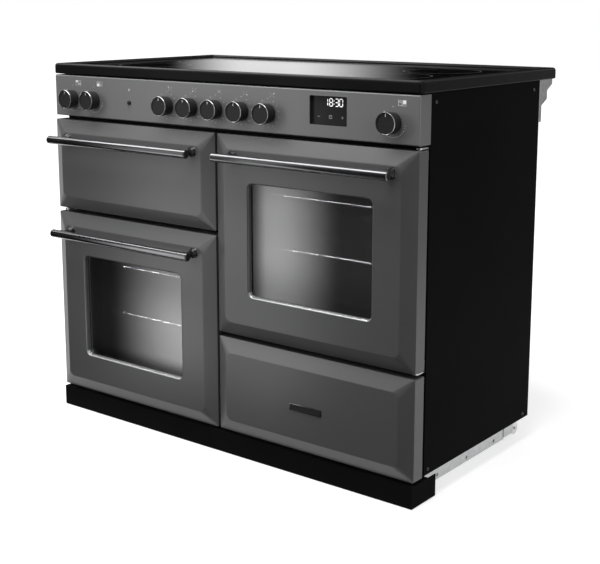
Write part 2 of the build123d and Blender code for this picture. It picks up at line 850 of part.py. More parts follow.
with BuildPart() as oven_shelves:
    wire_pitch = 2 * shelf_x / (shelf_wire_count + 1)
    for x, floor in ovens:
        for rung in shelf_rungs:
            rail_z = floor + rung + rack_wire / 2 + shelf_seat_gap + shelf_rail_diameter / 2
            with BuildSketch(front_plane(shelf_front, x, rail_z)):
                with GridLocations(2 * shelf_x, shelf_rail_diameter, 2, 1):
                    Circle(shelf_rail_diameter / 2)
            extrude(amount=-shelf_depth)
            with BuildSketch(side_plane(x - shelf_x, shelf_front, rail_z)):
                with Locations((shelf_rail_diameter, 0), (shelf_depth / 2, 0), (shelf_depth - shelf_rail_diameter, 0)):
                    Circle(shelf_wire / 2)
            extrude(amount=2 * shelf_x)
            with BuildSketch(front_plane(shelf_front, x, rail_z + shelf_wire - weld)):
                with GridLocations(wire_pitch, shelf_wire, shelf_wire_count, 1):
                    Circle(shelf_wire / 2)
            extrude(amount=-shelf_depth)
save(oven_shelves, "oven_shelves")

# Fan at the back of each oven: baffle with a ring of intake slots, impeller, motor behind the wall
cavity_back = cavity_front + oven_depth
baffle_front = cavity_back - baffle_depth
fan_back = cavity_back - fan_wall_gap
motor_front = cavity_back + sheet
motor_bore = fan_shaft_diameter / 2 + fan_shaft_clearance

with BuildPart() as fan_baffles:
    for x, floor in ovens:
        centre = floor + oven_height / 2
        with BuildSketch(front_plane(baffle_front, x, centre)):
            RectangleRounded(baffle_width, baffle_height, baffle_corner)
        extrude(amount=-baffle_depth)
        with BuildSketch(front_plane(baffle_front + sheet, x, centre)):
            RectangleRounded(baffle_width - 2 * sheet, baffle_height - 2 * sheet, baffle_corner - sheet)
        extrude(amount=-baffle_depth, mode=Mode.SUBTRACT)
        with BuildSketch(front_plane(baffle_front, x, centre)):
            with PolarLocations(baffle_slot_ring, baffle_slot_count):
                Rectangle(baffle_slot_length, baffle_slot_width)
        extrude(amount=-sheet, mode=Mode.SUBTRACT)
        with BuildSketch(side_plane(x - baffle_width / 2, baffle_front + baffle_depth / 2, centre)):
            Rectangle(baffle_vent_width, baffle_vent_height)
        extrude(amount=baffle_width, mode=Mode.SUBTRACT)
save(fan_baffles, "fan_baffles")

with BuildPart() as fan_motors:
    for x, floor in ovens:
        centre = floor + oven_height / 2
        with BuildSketch(front_plane(motor_front, x, centre)):
            Circle(motor_diameter / 2)
            Circle(motor_bore, mode=Mode.SUBTRACT)
        extrude(amount=-motor_length)
save(fan_motors, "fan_motors")


def oven_fan(name, x, floor):
    """Impeller with a ring of swept blades on a disc, and the shaft that runs into the motor."""
    centre = floor + oven_height / 2
    blade_ring = (fan_diameter - fan_blade_length) / 2 - fan_blade_sheet
    with BuildPart() as fan:
        with BuildSketch(front_plane(fan_back, x, centre)):
            Circle(fan_diameter / 2)
        extrude(amount=fan_blade_sheet)
        with BuildSketch(front_plane(fan_back, x, centre)):
            Circle(fan_hub_diameter / 2)
            with PolarLocations(blade_ring, fan_blade_count):
                Rectangle(fan_blade_length, fan_blade_sheet, rotation=fan_blade_angle)
        extrude(amount=fan_depth)
        with BuildSketch(front_plane(fan_back, x, centre)):
            Circle(fan_shaft_diameter / 2)
        extrude(amount=-(fan_wall_gap + sheet + fan_shaft_reach))
    save(fan, name)


oven_fan("left_oven_fan", -column_x, left_oven_floor)
oven_fan("right_oven_fan", column_x, right_oven_floor)

# Grill: a bent tubular element under the roof, a pan with a wire trivet on the floor
grill_back = cavity_front + grill_depth
element_z = grill_floor + grill_height - element_drop
element_front = cavity_front + element_front_gap
element_start = -column_x - element_pitch * (element_runs - 1) / 2

with BuildPart() as grill_element:
    element_points = []
    for index in range(element_runs):
        run_x = element_start + index * element_pitch
        ends = [(run_x, front_y + grill_back, element_z), (run_x, front_y + element_front, element_z)]
        if index not in (0, element_runs - 1):
            ends[0] = (run_x, front_y + grill_back - element_front_gap, element_z)
        element_points += ends if index % 2 == 0 else ends[::-1]
    with BuildLine():
        FilletPolyline(*element_points, radius=(element_pitch - element_straight) / 2)
    with BuildSketch(front_plane(grill_back, element_start, element_z)):
        Circle(element_diameter / 2)
    sweep()
save(grill_element, "grill_element")

pan_width = cavity_width - 2 * pan_side_gap
pan_middle = cavity_front + pan_setback + pan_length / 2

with BuildPart() as grill_pan:
    with BuildSketch(level_plane(grill_floor, -column_x, pan_middle)):
        RectangleRounded(pan_width - 2 * pan_rim, pan_length - 2 * pan_rim, pan_corner)
    extrude(amount=pan_height)
    with BuildSketch(level_plane(grill_floor + pan_height - pan_sheet, -column_x, pan_middle)):
        RectangleRounded(pan_width, pan_length, pan_corner + pan_rim)
    extrude(amount=pan_sheet)
    with BuildSketch(level_plane(grill_floor + pan_sheet, -column_x, pan_middle)):
        RectangleRounded(
            pan_width - 2 * (pan_rim + pan_sheet),
            pan_length - 2 * (pan_rim + pan_sheet),
            pan_corner - pan_sheet,
        )
    extrude(amount=pan_height, mode=Mode.SUBTRACT)
    trivet_width = pan_width - 2 * (pan_rim + trivet_inset)
    trivet_length = pan_length - 2 * (pan_rim + trivet_inset)
    trivet_foot = grill_floor + pan_sheet + trivet_seat_gap
    trivet_z = trivet_foot + trivet_lift
    with BuildSketch(level_plane(trivet_foot, -column_x, pan_middle)):
        with GridLocations(trivet_width - 2 * trivet_wire, trivet_length - 2 * pan_corner, 2, 2):
            Circle(trivet_leg / 2)
    extrude(amount=trivet_lift)
    with BuildSketch(side_plane(-column_x - trivet_width / 2, pan_middle, trivet_z)):
        with GridLocations(trivet_length - 2 * pan_corner, trivet_wire, 2, 1):
            Circle(trivet_wire / 2)
    extrude(amount=trivet_width)
    with BuildSketch(front_plane(pan_middle - trivet_length / 2, -column_x, trivet_z + trivet_wire - weld)):
        trivet_pitch = (trivet_width - pan_corner) / trivet_wire_count
        with GridLocations(trivet_pitch, trivet_wire, trivet_wire_count, 1):
            Circle(trivet_wire / 2)
    extrude(amount=-trivet_length)
save(grill_pan, "grill_pan")

# Doors: pressed skins with a sloping border, liners that close their backs, glazing, handles, hinges
ear_places = [-column_x - door_width / 2 + ear_inset, -column_x + door_width / 2 - ear_inset]
grill_axis_z = grill_bottom + grill_axis_lift
ear_notch = ear_thickness + 2 * ear_clearance
pin_hole = pin_diameter / 2 + pin_clearance
plateau_depth = -bevel_rise


def door_skin(name, x, bottom, height, windowed=False, pin_x=None, eared=False, backed=False):
    """Pressed sheet: folded edge, border sloping up to a raised plateau, recess for the window."""
    centre = bottom + height / 2
    fold_width = door_width - 2 * skin_sheet
    fold_height = height - 2 * skin_sheet
    top_width = door_width - 2 * bevel_width
    top_height = height - 2 * bevel_width
    with BuildPart() as skin:
        with BuildSketch(front_plane(0, x, centre)):
            RectangleRounded(door_width, height, edge_radius)
        extrude(amount=-door_return)
        with BuildSketch(front_plane(0, x, centre)):
            RectangleRounded(door_width, height, edge_radius)
        with BuildSketch(front_plane(plateau_depth, x, centre)):
            RectangleRounded(top_width, top_height, plateau_radius)
        loft()
        fillet(skin.faces().sort_by(Axis.Y)[0].edges(), plateau_fillet)
        with BuildSketch(front_plane(skin_sheet, x, centre)):
            RectangleRounded(fold_width, fold_height, fold_radius)
        extrude(amount=-door_return, mode=Mode.SUBTRACT)
        with BuildSketch(front_plane(skin_sheet, x, centre)):
            RectangleRounded(fold_width, fold_height, fold_radius)
        with BuildSketch(front_plane(plateau_depth + skin_sheet, x, centre)):
            RectangleRounded(top_width, top_height, plateau_radius)
        loft(mode=Mode.SUBTRACT)
        if windowed:
            window_z = centre - window_drop
            for wall, mode in ((skin_sheet, Mode.ADD), (0, Mode.SUBTRACT)):
                for taper, depth in ((0, plateau_depth), (reveal_taper, plateau_depth + reveal_depth)):
                    with BuildSketch(front_plane(depth, x, window_z)):
                        RectangleRounded(
                            window_width + 2 * (wall - taper),
                            window_height + 2 * (wall - taper),
                            window_radius + wall - taper,
                        )
                loft(mode=mode)
        if pin_x is not None:
            with BuildSketch(level_plane(bottom, pin_x, hinge_depth)):
                Circle(pin_hole)
            extrude(amount=height, mode=Mode.SUBTRACT)
        if eared:
            with BuildSketch(level_plane(bottom, 0, skin_sheet + notch_lip)):
                with Locations(*[(ear_x, door_return / 2) for ear_x in ear_places]):
                    Rectangle(ear_notch, door_return)
            extrude(amount=skin_sheet, mode=Mode.SUBTRACT)
        if backed:
            edge = skin_sheet + liner_fit
            with BuildSketch(front_plane(door_return, x, centre)):
                Rectangle(door_width - 2 * edge, height - 2 * edge)
            extrude(amount=liner_sheet)
    save(skin, name)


def door_liner(name, x, bottom, height, windowed=False, pin_x=None, eared=False):
    """Folded pan that closes the back of a door and holds its hinge bushes or lugs."""
    centre = bottom + height / 2
    edge = skin_sheet + liner_fit
    width = door_width - 2 * edge
    tall = height - 2 * edge
    plate_depth = door_return - liner_sheet
    with BuildPart() as liner:
        with BuildSketch(front_plane(door_return, x, centre)):
            Rectangle(width, tall)
        extrude(amount=liner_flange)
        with BuildSketch(front_plane(plate_depth, x, centre)):
            Rectangle(width - 2 * liner_sheet, tall - 2 * liner_sheet)
        extrude(amount=liner_flange, mode=Mode.SUBTRACT)
        if windowed:
            with BuildSketch(front_plane(door_return, x, centre - window_drop)):
                RectangleRounded(
                    window_width - 2 * inner_window_inset,
                    window_height - 2 * inner_window_inset,
                    window_radius,
                )
            extrude(amount=liner_sheet, mode=Mode.SUBTRACT)
        if pin_x is not None:
            for block_bottom in (bottom + edge, bottom + height - edge - bush_length):
                with BuildSketch(level_plane(block_bottom, pin_x, hinge_depth)):
                    Circle(bush_width / 2)
                    with Locations((0, (plate_depth - hinge_depth) / 2)):
                        Rectangle(bush_width, plate_depth - hinge_depth)
                    Circle(pin_hole, mode=Mode.SUBTRACT)
                extrude(amount=bush_length)
        if eared:
            for ear_x in ear_places:
                lug_start = ear_x - ear_notch / 2 - lug_thickness
                with BuildSketch(side_plane(lug_start, grill_axis_depth, grill_axis_z)):
                    Circle(ear_radius)
                    with Locations(((plate_depth - grill_axis_depth) / 2, 0)):
                        Rectangle(plate_depth - grill_axis_depth, 2 * ear_radius)
                    Circle(grill_pin_diameter / 2 + pin_clearance, mode=Mode.SUBTRACT)
                extrude(amount=ear_notch + 2 * lug_thickness)
                notch_top = grill_axis_lift + ear_radius + ear_clearance
                with BuildSketch(side_plane(ear_x - ear_notch / 2, 0, bottom)):
                    with Locations((door_return / 2, notch_top / 2)):
                        Rectangle(door_return, notch_top)
                extrude(amount=ear_notch, mode=Mode.SUBTRACT)
    save(liner, name)


def door_glass(name, x, bottom, height, front, inset):
    """Toughened pane that laps behind its opening on every side."""
    grow = glass_lap - inset
    with BuildPart() as pane:
        with BuildSketch(front_plane(front, x, bottom + height / 2 - window_drop)):
            RectangleRounded(window_width + 2 * grow, window_height + 2 * grow, window_radius)
        extrude(amount=-glass_thickness)
    save(pane, name)


def door_handle(prefix, x, top):
    """Round bar on two turned posts that stand on the plateau of the skin."""
    bar_z = top - bar_drop
    saddle = post_saddle_diameter / 2
    neck = post_neck_diameter / 2
    foot = post_foot_diameter / 2
    saddle_start = bar_standoff - bar_diameter / 2
    with BuildPart() as bar:
        with BuildSketch(side_plane(x - bar_length / 2, -bar_depth, bar_z)):
            Circle(bar_diameter / 2)
        extrude(amount=bar_length)
        fillet(bar.edges().filter_by(GeomType.CIRCLE), bar_end_round)
    save(bar, f"{prefix}_handle_bar")
    with BuildPart() as posts:
        for post_x in (x - post_spread / 2, x + post_spread / 2):
            with BuildSketch(turning_plane(plateau_depth, post_x, bar_z)):
                with BuildLine():
                    Polyline((0, bar_standoff), (0, 0), (foot, 0), (foot, post_foot_height))
                    Spline((foot, post_foot_height), (neck, bar_standoff / 2), (saddle, saddle_start))
                    Polyline((saddle, saddle_start), (saddle, bar_standoff), (0, bar_standoff))
                make_face()
            revolve(axis=turning_axis(post_x, bar_z))
        with BuildSketch(side_plane(x - bar_length / 2, -bar_depth, bar_z)):
            Circle(bar_diameter / 2 + saddle_gap)
        extrude(amount=bar_length, mode=Mode.SUBTRACT)
    save(posts, f"{prefix}_handle_posts")


def oven_door(prefix, x, bottom, pin_x):
    """Glazed door on an upright hinge."""
    door_skin(f"{prefix}_skin", x, bottom, tall_height, windowed=True, pin_x=pin_x)
    door_liner(f"{prefix}_liner", x, bottom, tall_height, windowed=True, pin_x=pin_x)
    door_glass(f"{prefix}_outer_glass", x, bottom, tall_height, plateau_depth + reveal_depth, reveal_taper)
    inner_front = door_return - liner_sheet - glass_thickness
    door_glass(f"{prefix}_inner_glass", x, bottom, tall_height, inner_front, inner_window_inset)
    door_handle(prefix, x, bottom + tall_height)


oven_door("left_oven_door", -column_x, door_bottom, left_pin_x)
oven_door("right_oven_door", column_x, right_oven_bottom, right_pin_x)
door_skin("grill_door_skin", -column_x, grill_bottom, short_height, eared=True)
door_liner("grill_door_liner", -column_x, grill_bottom, short_height, eared=True)
door_handle("grill_door", -column_x, door_top)

with BuildPart() as door_hinges:
    for pin_x, bottom in ((left_pin_x, door_bottom), (right_pin_x, right_oven_bottom)):
        top = bottom + tall_height
        arm_reach = side_front - hinge_depth
        for edge, outward in ((top, 1), (bottom, -1)):
            arm_face = edge + outward * hinge_arm_gap
            with BuildSketch(level_plane(arm_face, pin_x, hinge_depth)):
                Circle(hinge_arm_width / 2)
                with Locations((0, arm_reach / 2)):
                    Rectangle(hinge_arm_width, arm_reach)
            extrude(amount=outward * hinge_arm)
            with BuildSketch(level_plane(arm_face, pin_x, hinge_depth)):
                Circle(pin_diameter / 2)
            extrude(amount=-outward * (hinge_arm_gap + pin_reach))
            with BuildSketch(front_plane(side_front, pin_x, arm_face)):
                with Locations((0, -outward * hinge_foot / 2)):
                    Rectangle(hinge_arm_width, hinge_foot)
            extrude(amount=sheet)
    for ear_x in ear_places:
        pin_length = ear_notch + 2 * lug_thickness
        with BuildSketch(side_plane(ear_x - ear_thickness / 2, grill_axis_depth, grill_axis_z)):
            Circle(ear_radius)
            with Locations(((frame_front - grill_axis_depth) / 2, 0)):
                Rectangle(frame_front - grill_axis_depth, 2 * ear_radius)
        extrude(amount=ear_thickness)
        with BuildSketch(side_plane(ear_x - pin_length / 2, grill_axis_depth, grill_axis_z)):
            Circle(grill_pin_diameter / 2)
        extrude(amount=pin_length)
        with BuildSketch(front_plane(frame_front, ear_x, grill_axis_z)):
            Rectangle(ear_foot_width, ear_foot_height)
        extrude(amount=sheet)
save(door_hinges, "door_hinges")

# Storage drawer: pressed front without a handle, box of steel sheets whose lips run in channels
door_skin("drawer_front", column_x, door_bottom, short_height, backed=True)

box_half = drawer_box_width / 2
lip_top = drawer_floor + drawer_box_height

with BuildPart() as drawer_box:
    floor_width = drawer_box_width - 2 * (sheet + seam_gap)
    back_height = drawer_box_height - sheet - seam_gap
    strip_width = drawer_lip - seam_gap
    for side in (-1, 1):
        with BuildSketch(front_plane(door_return, column_x, drawer_floor)):
            with Locations((side * (box_half - sheet / 2), drawer_box_height / 2)):
                Rectangle(sheet, drawer_box_height)
            with Locations((side * (box_half + drawer_lip - strip_width / 2), drawer_box_height - sheet / 2)):
                Rectangle(strip_width, sheet)
        extrude(amount=-drawer_box_depth)
    with BuildSketch(front_plane(door_return, column_x, drawer_floor + sheet / 2)):
        Rectangle(floor_width, sheet)
    extrude(amount=-drawer_box_depth)
    with BuildSketch(front_plane(door_return + drawer_box_depth, column_x, lip_top - back_height / 2)):
        Rectangle(floor_width, back_height)
    extrude(amount=sheet)
save(drawer_box, "drawer_box")

with BuildPart() as drawer_runners:
    channel = sheet + 2 * runner_gap
    web = box_half + drawer_lip + drawer_opening_gap
    ledge = box_half + drawer_opening_gap
    channel_low = drawer_box_height - sheet - runner_gap
    channel_high = channel_low + channel
    for side in (-1, 1):
        with BuildSketch(front_plane(cavity_front, column_x, drawer_floor)):
            with BuildLine():
                Polyline(
                    (side * ledge, channel_low),
                    (side * web, channel_low),
                    (side * web, channel_high),
                    (side * ledge, channel_high),
                    (side * ledge, channel_high + runner_sheet),
                    (side * (web + runner_sheet), channel_high + runner_sheet),
                    (side * (web + runner_sheet), channel_low - runner_sheet),
                    (side * ledge, channel_low - runner_sheet),
                    close=True,
                )
            make_face()
        extrude(amount=cavity_front - body_rear)
save(drawer_runners, "drawer_runners")
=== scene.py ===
import math

import bpy
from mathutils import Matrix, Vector


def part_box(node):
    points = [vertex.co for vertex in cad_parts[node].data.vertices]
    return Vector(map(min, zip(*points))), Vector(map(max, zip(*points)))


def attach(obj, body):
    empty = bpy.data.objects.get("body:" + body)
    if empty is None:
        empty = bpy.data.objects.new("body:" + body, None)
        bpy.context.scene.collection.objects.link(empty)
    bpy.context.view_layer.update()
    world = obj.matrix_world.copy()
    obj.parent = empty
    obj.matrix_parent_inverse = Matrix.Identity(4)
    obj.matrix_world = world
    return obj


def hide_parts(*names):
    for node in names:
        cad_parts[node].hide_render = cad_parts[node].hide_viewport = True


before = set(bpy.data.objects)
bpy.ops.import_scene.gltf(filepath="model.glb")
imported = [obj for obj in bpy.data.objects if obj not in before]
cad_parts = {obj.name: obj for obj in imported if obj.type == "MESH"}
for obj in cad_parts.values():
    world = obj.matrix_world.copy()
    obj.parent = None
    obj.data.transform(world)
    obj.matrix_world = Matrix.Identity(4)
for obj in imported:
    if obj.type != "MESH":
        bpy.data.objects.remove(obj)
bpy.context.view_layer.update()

# Base: two punched rails and a tray of bare galvanised sheet carry the cooker. A grooved steel
# roller turns at the back of each rail, and a cover of the same sheet closes the mains terminals.


class Strand:
    """A socket of a finish that takes part in sums, and the one way to add a node behind it."""

    def __init__(self, tree, socket):
        self.tree = tree
        self.socket = socket

    def put(self, kind, inputs, out=0, stops=None, **settings):
        made = self.tree.nodes.new(kind)
        for name, value in settings.items():
            setattr(made, name, value)
        if stops:
            ramp = made.color_ramp
            while len(ramp.elements) < len(stops):
                ramp.elements.new(1.0)
            for element, (position, grey) in zip(ramp.elements, stops):
                element.position = position
                element.color = (grey, grey, grey, 1.0)
        for key, value in inputs.items():
            if isinstance(value, Strand):
                self.tree.links.new(value.socket, made.inputs[key])
            else:
                made.inputs[key].default_value = value
        return Strand(self.tree, made.outputs[out])

    def maths(self, operation, *terms):
        return self.put("ShaderNodeMath", dict(enumerate(terms)), operation=operation)

    def __add__(self, other):
        return self.maths("ADD", self, other)

    def __sub__(self, other):
        return self.maths("SUBTRACT", self, other)

    def __rsub__(self, other):
        return self.maths("SUBTRACT", other, self)

    def __mul__(self, other):
        return self.maths("MULTIPLY", self, other)

    def __lt__(self, other):
        return self.maths("LESS_THAN", self, other)

    __radd__ = __add__
    __rmul__ = __mul__

    def noise(self, scale, detail=2.0):
        return self.put("ShaderNodeTexNoise", {"Vector": self, "Scale": scale, "Detail": detail})

    def between(self, low, high):
        """Colour that runs from one to the other as this value runs from 0 to 1."""
        ends = {0: self, 6: (*low, 1.0), 7: (*high, 1.0)}
        return self.put("ShaderNodeMix", ends, out=2, data_type="RGBA")

    def bump(self, distance, strength=1.0):
        return self.put("ShaderNodeBump", {"Height": self, "Distance": distance, "Strength": strength})


def new_finish(name):
    """A material, the place on the piece that its pattern reads, and a way to set its shader."""
    material = bpy.data.materials.new(name)
    material.use_nodes = True
    tree = material.node_tree
    shader = tree.nodes["Principled BSDF"]
    place = Strand(tree, tree.nodes.new("ShaderNodeTexCoord").outputs["Object"])

    def set_shader(**inputs):
        for key, value in inputs.items():
            socket = shader.inputs[key.replace("_", " ")]
            if isinstance(value, Strand):
                tree.links.new(value.socket, socket)
            else:
                socket.default_value = value

    return material, place, set_shader


def dress(material, *nodes):
    """Give solids of the frame their finish."""
    for node in nodes:
        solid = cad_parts[node]
        solid.data.materials.clear()
        solid.data.materials.append(material)


bare_sheets = ("base_rails", "base_tray", "terminal_box", "rear_panel", "hob_tray")
zinc_sheets = {
    # The duct's sheet is a darker copy of the galvanised sheet: painted shade that tones down what its
    # sides reflect.
    "duct_painted_shade_steel": (0.27, 0.34, ("rear_vent_duct",)),
    "galvanised_steel": (0.45, 0.54, bare_sheets),
}
for name, (dull, bright, nodes) in zinc_sheets.items():
    galvanised, place, set_shader = new_finish(name)
    crystal = place.put("ShaderNodeTexVoronoi", {"Vector": place, "Scale": 150.0}, out="Color")
    spangle = crystal.put("ShaderNodeSeparateColor", {"Color": crystal})
    smear = place.noise(14.0, 4.0)
    dull_crystal = (dull, dull * 1.009, dull * 1.018)
    bright_crystal = (bright, bright * 1.007, bright * 1.018)
    set_shader(
        Base_Color=spangle.between(dull_crystal, bright_crystal),
        Roughness=0.30 + 0.07 * spangle + 0.14 * smear,
        Metallic=1.0,
    )
    dress(galvanised, *nodes)

zinc, place, set_shader = new_finish("zinc_plated_roller")
set_shader(
    Base_Color=place.noise(60.0).between((0.55, 0.55, 0.56), (0.72, 0.72, 0.73)),
    Roughness=0.25 + 0.15 * place.noise(180.0),
    Metallic=1.0,
)
dress(zinc, "left_roller", "right_roller")

foot_nylon, place, set_shader = new_finish("foot_nylon")
set_shader(
    Base_Color=place.noise(90.0).between((0.016, 0.016, 0.017), (0.03, 0.03, 0.031)),
    Roughness=0.5 + 0.12 * place.noise(300.0),
    Normal=place.noise(700.0).bump(0.0001),
)
dress(foot_nylon, "levelling_feet")

# Carcass: folded side panels and a plinth in black powder coat with a fine grain, over a front
# frame in black enamel. Each panel is held by pan head screws at its corners.

powder, place, set_shader = new_finish("black_powder_coat")
grain = place.noise(1300.0, 3.0)
set_shader(
    Base_Color=place.noise(6.0, 4.0).between((0.003, 0.003, 0.0033), (0.006, 0.006, 0.0064)),
    Roughness=0.44 + 0.14 * grain,
    Specular_IOR_Level=0.008,
    Normal=grain.bump(0.00012, 0.8),
)
dress(powder, "left_side_panel", "right_side_panel", "plinth")

black_enamel, place, set_shader = new_finish("black_enamel")
peel = place.noise(160.0)
set_shader(
    Base_Color=place.noise(9.0).between((0.006, 0.006, 0.0065), (0.01, 0.01, 0.0105)),
    Roughness=0.14 + 0.06 * place.noise(40.0),
    Specular_IOR_Level=0.22,
    Normal=peel.bump(0.0002, 0.1),
)
dress(black_enamel, "front_frame")


def begin(name, add, **sizes):
    """Add a primitive with nothing else selected, and name it."""
    bpy.ops.object.select_all(action="DESELECT")
    add(**sizes)
    piece = bpy.context.object
    piece.name = name
    piece.data.name = name
    return piece


def settle(piece, material, body, smooth=35.0):
    """Put a finished piece's place into its mesh, and give it its finish and its body."""
    bpy.ops.object.select_all(action="DESELECT")
    piece.select_set(True)
    bpy.context.view_layer.objects.active = piece
    bpy.ops.object.transform_apply(location=True, rotation=True, scale=True)
    if smooth:
        bpy.ops.object.shade_smooth_by_angle(angle=math.radians(smooth))
    piece.data.materials.clear()
    piece.data.materials.append(material)
    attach(piece, body)
    return piece


def turned(name, profile, place, steps=48):
    """Spin a profile of radius and forward reach about a front to back axis through a place."""
    piece = begin(name, bpy.ops.mesh.primitive_plane_add, size=0.001, location=place)
    bpy.ops.object.mode_set(mode="EDIT")
    bpy.ops.mesh.select_all(action="SELECT")
    bpy.ops.mesh.merge(type="CENTER")
    radius, reach = profile[0]
    bpy.ops.transform.translate(value=(radius, -reach, 0.0))
    for next_radius, next_reach in profile[1:]:
        step = (next_radius - radius, reach - next_reach, 0.0)
        bpy.ops.mesh.extrude_region_move(TRANSFORM_OT_translate={"value": step})
        radius, reach = next_radius, next_reach
    bpy.ops.mesh.select_all(action="SELECT")
    bpy.ops.mesh.spin(steps=steps, angle=math.tau, center=place, axis=(0.0, 1.0, 0.0))
    bpy.ops.mesh.select_all(action="SELECT")
    bpy.ops.mesh.remove_doubles(threshold=0.00001)
    bpy.ops.mesh.normals_make_consistent(inside=False)
    bpy.ops.object.mode_set(mode="OBJECT")
    return piece


screw_head = [
    (0.0, 0.0014),
    (0.0016, 0.0014),
    (0.0016, 0.0022),
    (0.0026, 0.002),
    (0.0036, 0.0012),
    (0.004, 0.0),
]
screw_steps = 20
black_zinc, place, set_shader = new_finish("black_zinc_screw")
set_shader(
    Base_Color=place.noise(300.0).between((0.03, 0.03, 0.032), (0.06, 0.06, 0.062)),
    Roughness=0.3 + 0.15 * place.noise(500.0),
    Metallic=1.0,
)
side_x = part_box("right_side_panel")[1].x
side_screws = [(-0.205, 0.859), (-0.209, 0.074), (0.225, 0.859), (0.225, 0.074)]
for side, sign in (("left", -1), ("right", 1)):
    for number, (screw_y, screw_z) in enumerate(side_screws):
        screw = turned(f"{side}_side_screw_{number + 1}", screw_head, (0.0, 0.0, 0.0), steps=screw_steps)
        screw.rotation_euler.z = sign * math.radians(90.0)
        screw.location = (sign * side_x, screw_y, screw_z)
        settle(screw, black_zinc, "cabinet")

rear_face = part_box("rear_panel")[1].y
terminal_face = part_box("terminal_box")[1].y
duct_low_stage = 0.013
duct_face = rear_face + duct_low_stage
edge_x, edge_heights = 0.532, (0.14, 0.4, 0.66)
foot_x, foot_z = 0.2, 0.074
duct_screw_pitch, duct_screw_z = 0.25, 0.8
terminal_screws = ((0.372, 0.191), (0.48, 0.191), (0.426, 0.113))
rear_screws = [(sign * edge_x, rear_face, height) for sign in (-1, 1) for height in edge_heights]
rear_screws += [(sign * foot_x, rear_face, foot_z) for sign in (-1, 1)]
rear_screws += [(duct_screw_pitch * step, duct_face, duct_screw_z) for step in (-2, -1, 0, 1, 2)]
rear_screws += [(x, terminal_face, z) for x, z in terminal_screws]
for number, screw_place in enumerate(rear_screws):
    screw = turned(f"rear_screw_{number + 1}", screw_head, (0.0, 0.0, 0.0), steps=screw_steps)
    screw.rotation_euler.z = math.radians(180.0)
    screw.location = screw_place
    settle(screw, zinc, "cabinet")

# Roller brackets: a short plate of galvanised sheet with a pressed rib, cut with softened edges.
# Each is spot welded to the tongue of its rail, in front of the roller.

tongue_face, bracket_y, bracket_z = 0.508, 0.226, 0.033
bracket_thickness, bracket_length, bracket_height = 0.002, 0.044, 0.046
rib_margin, rib_slope, rib_rise = 0.008, 0.002, 0.002
plate_edge = 0.0006
for side, sign in (("left", -1), ("right", 1)):
    middle = (sign * (tongue_face + bracket_thickness / 2), bracket_y, bracket_z)
    name = f"{side}_roller_bracket"
    bracket = begin(name, bpy.ops.mesh.primitive_cube_add, size=1.0, location=middle)
    bracket.scale = (bracket_thickness, bracket_length, bracket_height)
    bpy.ops.object.transform_apply(location=True, rotation=True, scale=True)
    bpy.ops.object.mode_set(mode="EDIT")
    bpy.ops.mesh.select_all(action="SELECT")
    bpy.ops.mesh.bevel(offset=plate_edge, segments=2)
    bpy.ops.mesh.select_all(action="DESELECT")
    bpy.ops.object.mode_set(mode="OBJECT")
    for face in bracket.data.polygons:
        face.select = sign * face.normal.x > 0.99
    bpy.ops.object.mode_set(mode="EDIT")
    bpy.ops.mesh.inset(thickness=rib_margin, depth=0.0)
    bpy.ops.mesh.inset(thickness=rib_slope, depth=rib_rise)
    bpy.ops.object.mode_set(mode="OBJECT")
    settle(bracket, galvanised, "cabinet")

# Hob: a black enamelled frame with rounded edges, and a sheet of black ceramic glass let into it.
# Each cooking zone is printed on the glass as a ring of fine grey lines.

rim_enamel, place, set_shader = new_finish("rim_enamel")
set_shader(
    Base_Color=place.noise(9.0).between((0.005, 0.005, 0.0053), (0.008, 0.008, 0.0084)),
    Roughness=0.22 + 0.06 * place.noise(40.0),
    Specular_IOR_Level=0.05,
    Normal=place.noise(160.0).bump(0.0002, 0.1),
)
dress(rim_enamel, "hob_frame")

hob_glass, place, set_shader = new_finish("hob_ceramic_glass")
axes = place.put("ShaderNodeSeparateXYZ", {"Vector": place})
across = Strand(axes.tree, axes.socket.node.outputs["X"])
along = Strand(axes.tree, axes.socket.node.outputs["Y"])
coils_low, coils_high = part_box("induction_coils")
hob_middle = (coils_low + coils_high) / 2.0
column_x, row_y = 0.36, 0.1075
large_zone, small_zone, half_line = 0.115, 0.09, 0.0006
zones = [(0.0, 0.0, large_zone)]
zones += [(x, y, small_zone) for x in (-column_x, column_x) for y in (-row_y, row_y)]
printed = None
for zone_x, zone_y, zone_radius in zones:
    from_x = across - (hob_middle.x + zone_x)
    from_y = along - (hob_middle.y + zone_y)
    squared = from_x * from_x + from_y * from_y
    off_ring = squared.maths("SQRT", squared) - zone_radius
    ring = off_ring.maths("ABSOLUTE", off_ring) < half_line
    printed = ring if printed is None else printed + ring
set_shader(
    Base_Color=printed.between((0.004, 0.004, 0.0045), (0.16, 0.16, 0.165)),
    Roughness=0.07 + 0.2 * printed + 0.03 * place.noise(5.0),
    Specular_IOR_Level=0.5,
)
dress(hob_glass, "hob_glass")

coil_copper, place, set_shader = new_finish("coil_carrier")
set_shader(
    Base_Color=place.noise(400.0).between((0.10, 0.06, 0.04), (0.22, 0.13, 0.08)),
    Roughness=0.5 + 0.1 * place.noise(120.0),
)
dress(coil_copper, "induction_coils")

# Cavities: boxes in dark speckled enamel behind the front frame. Chrome wire racks hold chrome
# wire shelves, and a pierced plate hides the fan at the back of each oven.

cavity_enamel, place, set_shader = new_finish("cavity_enamel")
fleck = place.put("ShaderNodeTexVoronoi", {"Vector": place, "Scale": 260.0}) < 0.1
set_shader(
    Base_Color=fleck.between((0.012, 0.012, 0.013), (0.05, 0.05, 0.052)),
    Roughness=0.2 + 0.1 * place.noise(30.0),
    Normal=place.noise(120.0).bump(0.0003, 0.12),
)
dress(cavity_enamel, "left_oven_cavity", "right_oven_cavity", "grill_cavity", "fan_baffles", "grill_pan")

